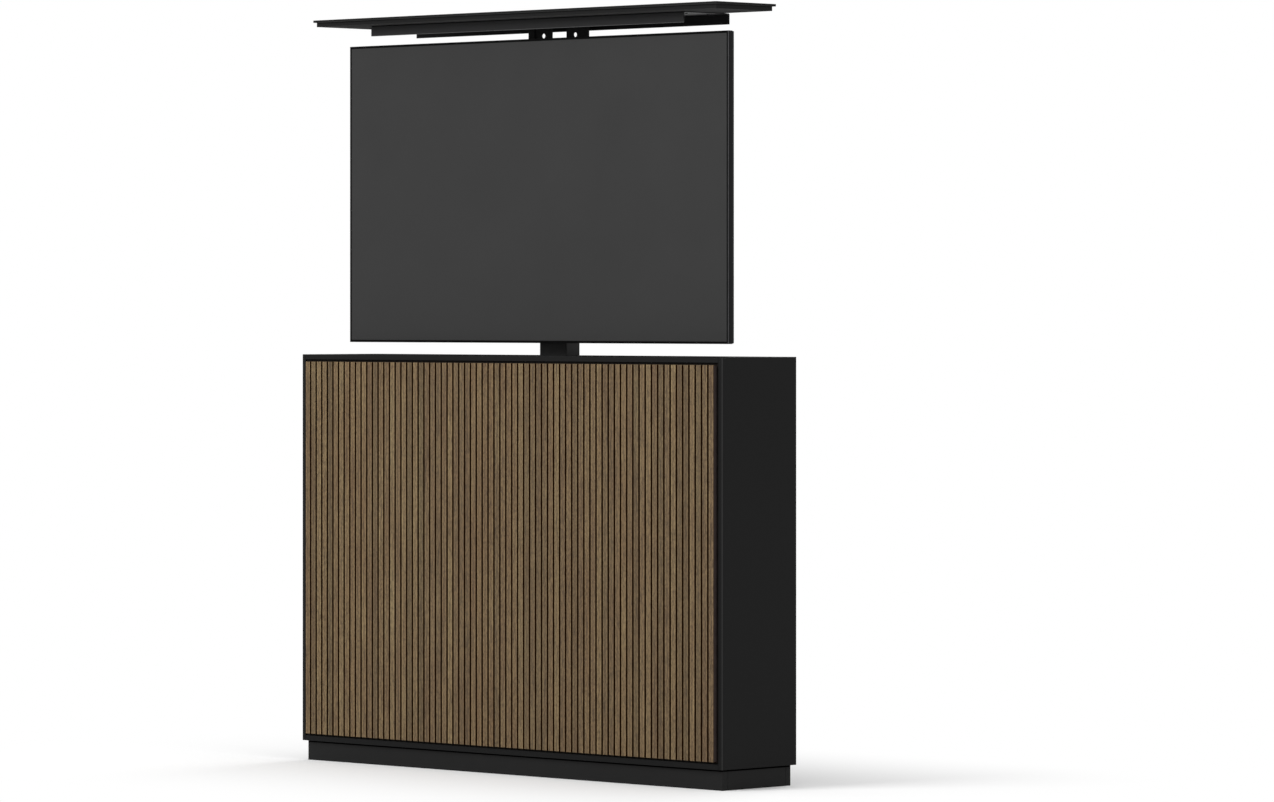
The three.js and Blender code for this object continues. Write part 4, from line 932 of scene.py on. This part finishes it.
def addUpperScrew():
    node = "upper_screw"
    low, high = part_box(node)
    y = (low.y + high.y) / 2
    bm = threadSurface(low, high, y, thread["upperRadius"])
    closeEnds(bm, low, high)
    piece = addPiece("upper_screw_threaded", bm, bodyOf[node], slots[node], replaced=(node,))
    bore, tip, half = thread["bore"] * mm, thread["keyTip"] * mm, thread["key"] * mm / 2
    overrun = thread["overrun"] * mm
    cutter = bmesh.new()
    ring = bmesh.ops.create_circle(cutter, cap_ends=True, segments=thread["boreSteps"], radius=bore,
                                   matrix=Matrix.Translation((0, y, low.z - overrun)))["verts"]
    # The ring's nearest points leave the key: five of them, the outer ones at its roots
    for vert in ring:
        aside = vert.co.y - y
        if vert.co.x > 0 and abs(aside) < 2 * half:
            vert.co.x = tip if abs(aside) < half else math.sqrt(bore ** 2 - half ** 2)
            if abs(aside) > 0.1 * half:
                vert.co.y = y + math.copysign(half, aside)
    raised = bmesh.ops.extrude_face_region(cutter, geom=cutter.faces[:], use_keep_orig=True)["geom"]
    bmesh.ops.translate(cutter, verts=vertsIn(raised), vec=(0, 0, high.z - low.z + 2 * overrun))
    faceOutwards(cutter)
    cutAway(piece, cutter)


# Screw and bolt heads, in mm: a disc raised and rounded, with its drive inset and sunk. The drive's
# outline comes in at every second or third corner, by the share called inner: a hexagon or a cross.
heads = {
    "capBolt": {
        "radius": 5, "height": 4.6, "rim": 0.5, "drive": 2.7, "depth": 2.4, "inner": 0.866, "every": 2,
        "washer": 8.5, "washerHeight": 1,
    },
    "panScrew": {
        "radius": 3.5, "height": 2.1, "rim": 1.0, "drive": 2.0, "depth": 1.1, "inner": 0.4, "every": 3,
    },
    "smallScrew": {
        "radius": 2.5, "height": 1.4, "rim": 0.6, "drive": 1.4, "depth": 0.8, "inner": 0.4, "every": 3,
    },
}
headSides = 12
sideAngle = 360 / headSides
headSunk = 0.1  # mm that a head goes into its seat
facings = {"up": (0, 0, 1), "down": (0, 0, -1), "back": (0, 1, 0), "front": (0, -1, 0)}

# Each group: the node it sits in, its head, which way it faces, how far its seat lies past the
# node's outer face on that side, its metal, and the two other coordinates of each screw, all mm
fasteners = {
    "television_mount_bolts": ("vesa_arm_left", "capBolt", "back", -7.2, "zinc_steel",
                               [(x, z) for x in (-200, 200) for z in (1177.7, 1477.7)]),
    "arm_clamp_bolts": ("hang_plate", "capBolt", "back", 0, "zinc_steel",
                        [(x, z) for x in (-200, 200) for z in (1270.7, 1384.7)]),
    "head_flange_bolts": ("column_head", "capBolt", "back", -59.6, "zinc_steel",
                          [(-50, 1525), (50, 1525)]),
    "bracket_foot_bolts": ("lid_bracket_left", "capBolt", "up", -152.9, "zinc_steel",
                           [(-50.5, 71), (50.5, 71)]),
    "bracket_top_bolts": ("lid_bracket_left", "capBolt", "down", -152.9, "zinc_steel",
                          [(-50.5, 71), (50.5, 71)]),
    "hood_screws": ("hood_channel", "panScrew", "down", -22.6, "black_steel",
                    [(x, y) for x in (-480, -330, -180, 180, 330, 480) for y in (-20, 50)]),
    "clamp_bolts": ("column_clamp", "capBolt", "front", -61.4, "zinc_steel",
                    [(x, z) for x in (-66, 66) for z in (570, 598)]),
    "base_plate_bolts": ("lift_base_plate", "capBolt", "up", 0, "zinc_steel",
                         [(x, y) for x in (-115, 115) for y in (22, 92)]),
    "gear_case_screws": ("gear_housing", "panScrew", "front", 0, "zinc_steel",
                         [(x, z) for x in (-40, 40) for z in (79, 112)]),
    "back_panel_screws": ("back_panel", "panScrew", "back", 0, "zinc_steel",
                          [(x, 584) for x in range(-600, 601, 240)]
                          + [(x, z) for x in (-653.2, 653.2) for z in (100, 300, 500, 680, 880)]),
    "television_cover_screws": ("tv_back_cover", "smallScrew", "back", 0, "black_steel",
                                [(x, z) for x in range(-560, 561, 224) for z in (996, 1660)]
                                + [(x, z) for x in (-600, 600) for z in (1150, 1330, 1510)]),
    "television_housing_screws": ("tv_rear_housing", "smallScrew", "back", 0, "black_steel",
                                  [(x, z) for x in (-411, 411) for z in (1032, 1250, 1481)]
                                  + [(-120, 1030), (120, 1030)]),
    "control_box_screws": ("control_box", "smallScrew", "up", 0, "zinc_steel",
                           [(x, y) for x in (339, 501) for y in (26, 91.5)]),
    "lead_clip_screws": ("lead_clip", "smallScrew", "up", -6.3, "zinc_steel",
                         [(263.6, 48.6), (263.6, 69)]),
}


def raisedDisc(bm, radius, height):
    turn = Matrix.Rotation(math.radians(sideAngle / 2), 4, "Z")
    disc = bmesh.ops.create_circle(bm, cap_ends=True, segments=headSides, radius=radius, matrix=turn)
    base = disc["verts"][0].link_faces[0]
    top = vertsIn(bmesh.ops.extrude_face_region(bm, geom=[base], use_keep_orig=True)["geom"])
    bmesh.ops.translate(bm, verts=top, vec=(0, 0, height))
    return top


def headMesh(kind):
    head = heads[kind]
    radius, height, rounding, drive = (head[key] * mm for key in ("radius", "height", "rim", "drive"))
    bm = bmesh.new()
    top = raisedDisc(bm, radius, height)
    rim = [edge for edge in edgesOf(top) if all(vert.co.z > height / 2 for vert in edge.verts)]
    roundEdges(bm, rim, rounding)
    crown = max(bm.faces, key=lambda face: face.calc_center_median().z)
    bmesh.ops.inset_region(bm, faces=[crown], thickness=radius - rounding - drive)
    for vert in crown.verts:
        angle = math.degrees(math.atan2(vert.co.y, vert.co.x)) - sideAngle / 2
        notch = round(angle / sideAngle) % head["every"] == 1
        reach = drive * (head["inner"] if notch else 1)
        vert.co.xy = vert.co.xy.normalized() * reach
    sunk = bmesh.ops.extrude_face_region(bm, geom=[crown])["geom"]
    bmesh.ops.delete(bm, geom=[crown], context="FACES_ONLY")
    bmesh.ops.translate(bm, verts=vertsIn(sunk), vec=(0, 0, -head["depth"] * mm))
    if "washer" in head:
        raisedDisc(bm, head["washer"] * mm, head["washerHeight"] * mm)
    faceOutwards(bm)
    return meshFrom(bm, kind)


def addFasteners():
    shapes = {kind: headMesh(kind) for kind in heads}
    for name, (node, kind, side, past, metal, places) in fasteners.items():
        facing = Vector(facings[side])
        low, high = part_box(node)
        corner = high if side in ("up", "back") else low
        seat = corner.dot(facing) + (past - headSunk) * mm
        turn = Vector((0, 0, 1)).rotation_difference(facing).to_matrix().to_4x4()
        bm = bmesh.new()
        for u, v in places:
            spot = Vector((u, 0, v)) if side in ("back", "front") else Vector((u, v, 0))
            count = len(bm.verts)
            bm.from_mesh(shapes[kind])
            bm.verts.ensure_lookup_table()
            place = Matrix.Translation(spot * mm + facing * seat) @ turn
            bmesh.ops.transform(bm, matrix=place, verts=bm.verts[count:])
        addPiece(name, bm, bodyOf[node], metal)
    for mesh in shapes.values():
        bpy.data.meshes.remove(mesh)


# Floor, lamps and background
stage = {
    "floorSize": 60,
    "foot": (0.68, 0.12, 1),  # half the cabinet's width and depth, and any height above 0
    "fadeStart": -0.05,  # metres past the foot, from where the floor turns white
    "fadeEnd": 0.9,
    "ambient": 0.62,
    "paper": 0.87,
}


def whiteForView(tree):
    path = addNode(tree, "ShaderNodeLightPath", {}, {})
    seen = addNode(tree, "ShaderNodeMath", {"operation": "MAXIMUM"}, {
        0: (path, "Is Camera Ray"), 1: (path, "Is Glossy Ray"),
    })
    return addNode(tree, "ShaderNodeMath", {"operation": "MAXIMUM"}, {
        0: (seen, 0), 1: (path, "Is Transmission Ray"),
    })


def addWorld():
    world = bpy.data.worlds.new("studio")
    bpy.context.scene.world = world
    tree = emptyTree(world)
    lit = addNode(tree, "ShaderNodeBackground", {"Color": grey(1), "Strength": stage["ambient"]}, {})
    shown = addNode(tree, "ShaderNodeBackground", {"Color": grey(1), "Strength": 1}, {})
    seen = whiteForView(tree)
    mixed = addNode(tree, "ShaderNodeMixShader", {}, {0: (seen, 0), 1: (lit, 0), 2: (shown, 0)})
    addNode(tree, "ShaderNodeOutputWorld", {}, {"Surface": (mixed, 0)})


def addFloor():
    bm = bmesh.new()
    bmesh.ops.create_grid(bm, x_segments=1, y_segments=1, size=stage["floorSize"] / 2)
    floor = addObject("studio_floor", meshFrom(bm, "studio_floor"))
    material, tree, place = startMaterial("paper_floor")
    matt = addNode(tree, "ShaderNodeBsdfDiffuse", {"Color": grey(stage["paper"])}, {})
    white = addNode(tree, "ShaderNodeEmission", {"Color": grey(1), "Strength": 1}, {})
    mirrored = addNode(tree, "ShaderNodeVectorMath", {"operation": "ABSOLUTE"}, {0: (place, "Object")})
    past = addNode(tree, "ShaderNodeVectorMath", {
        "operation": "SUBTRACT", 1: stage["foot"],
    }, {0: (mirrored, 0)})
    beyond = addNode(tree, "ShaderNodeVectorMath", {"operation": "MAXIMUM", 1: (0, 0, 0)}, {0: (past, 0)})
    reach = addNode(tree, "ShaderNodeVectorMath", {"operation": "LENGTH"}, {0: (beyond, 0)})
    fade = addNode(tree, "ShaderNodeMapRange", {
        "interpolation_type": "SMOOTHSTEP", "From Min": stage["fadeStart"], "From Max": stage["fadeEnd"],
    }, {"Value": (reach, "Value")})
    seen = whiteForView(tree)
    share = addNode(tree, "ShaderNodeMath", {"operation": "MULTIPLY"}, {0: (fade, 0), 1: (seen, 0)})
    mixed = addNode(tree, "ShaderNodeMixShader", {}, {0: (share, 0), 1: (matt, 0), 2: (white, 0)})
    addNode(tree, "ShaderNodeOutputMaterial", {}, {"Surface": (mixed, 0)})
    floor.data.materials.append(material)


lamps = {
    "key": {"place": (-1.6, -5.6, 4.2), "size": 3.0, "watts": 320},
    "side": {"place": (5.5, -1.0, 3.0), "size": 3.0, "watts": 90},
    "back": {"place": (-1.0, 5.5, 4.0), "size": 3.0, "watts": 130},
}
lampTarget = (0, 0, 0.9)


def addLamps():
    for name, lamp in lamps.items():
        data = bpy.data.lights.new(name, "AREA")
        data.size = lamp["size"]
        data.energy = lamp["watts"]
        light = addObject(name, data)
        light.location = lamp["place"]
        aim = Vector(lampTarget) - Vector(lamp["place"])
        light.rotation_euler = aim.to_track_quat("-Z", "Y").to_euler()


for node, radius in boards.items():
    addEased(node, radius)
addPlinth()
print("boards eased")
addSlats()
print("slats made")
for node, radius in pressedPieces.items():
    addEased(node, radius)
addTelevisionEdge()
for node, wall in tubes["walls"].items():
    addTube(node, wall)
addMotor()
addGrommet()
addHousing()
addSockets()
addInletBlades()
addLead()
addLowerScrew()
addUpperScrew()
addFasteners()
print("metal and moulded pieces made")
for name, node in nodes.items():
    if slots[name] in materials:
        node.material_slots[0].material = materials[slots[name]]
addWorld()
addFloor()
addLamps()
print("floor, lamps and background made")
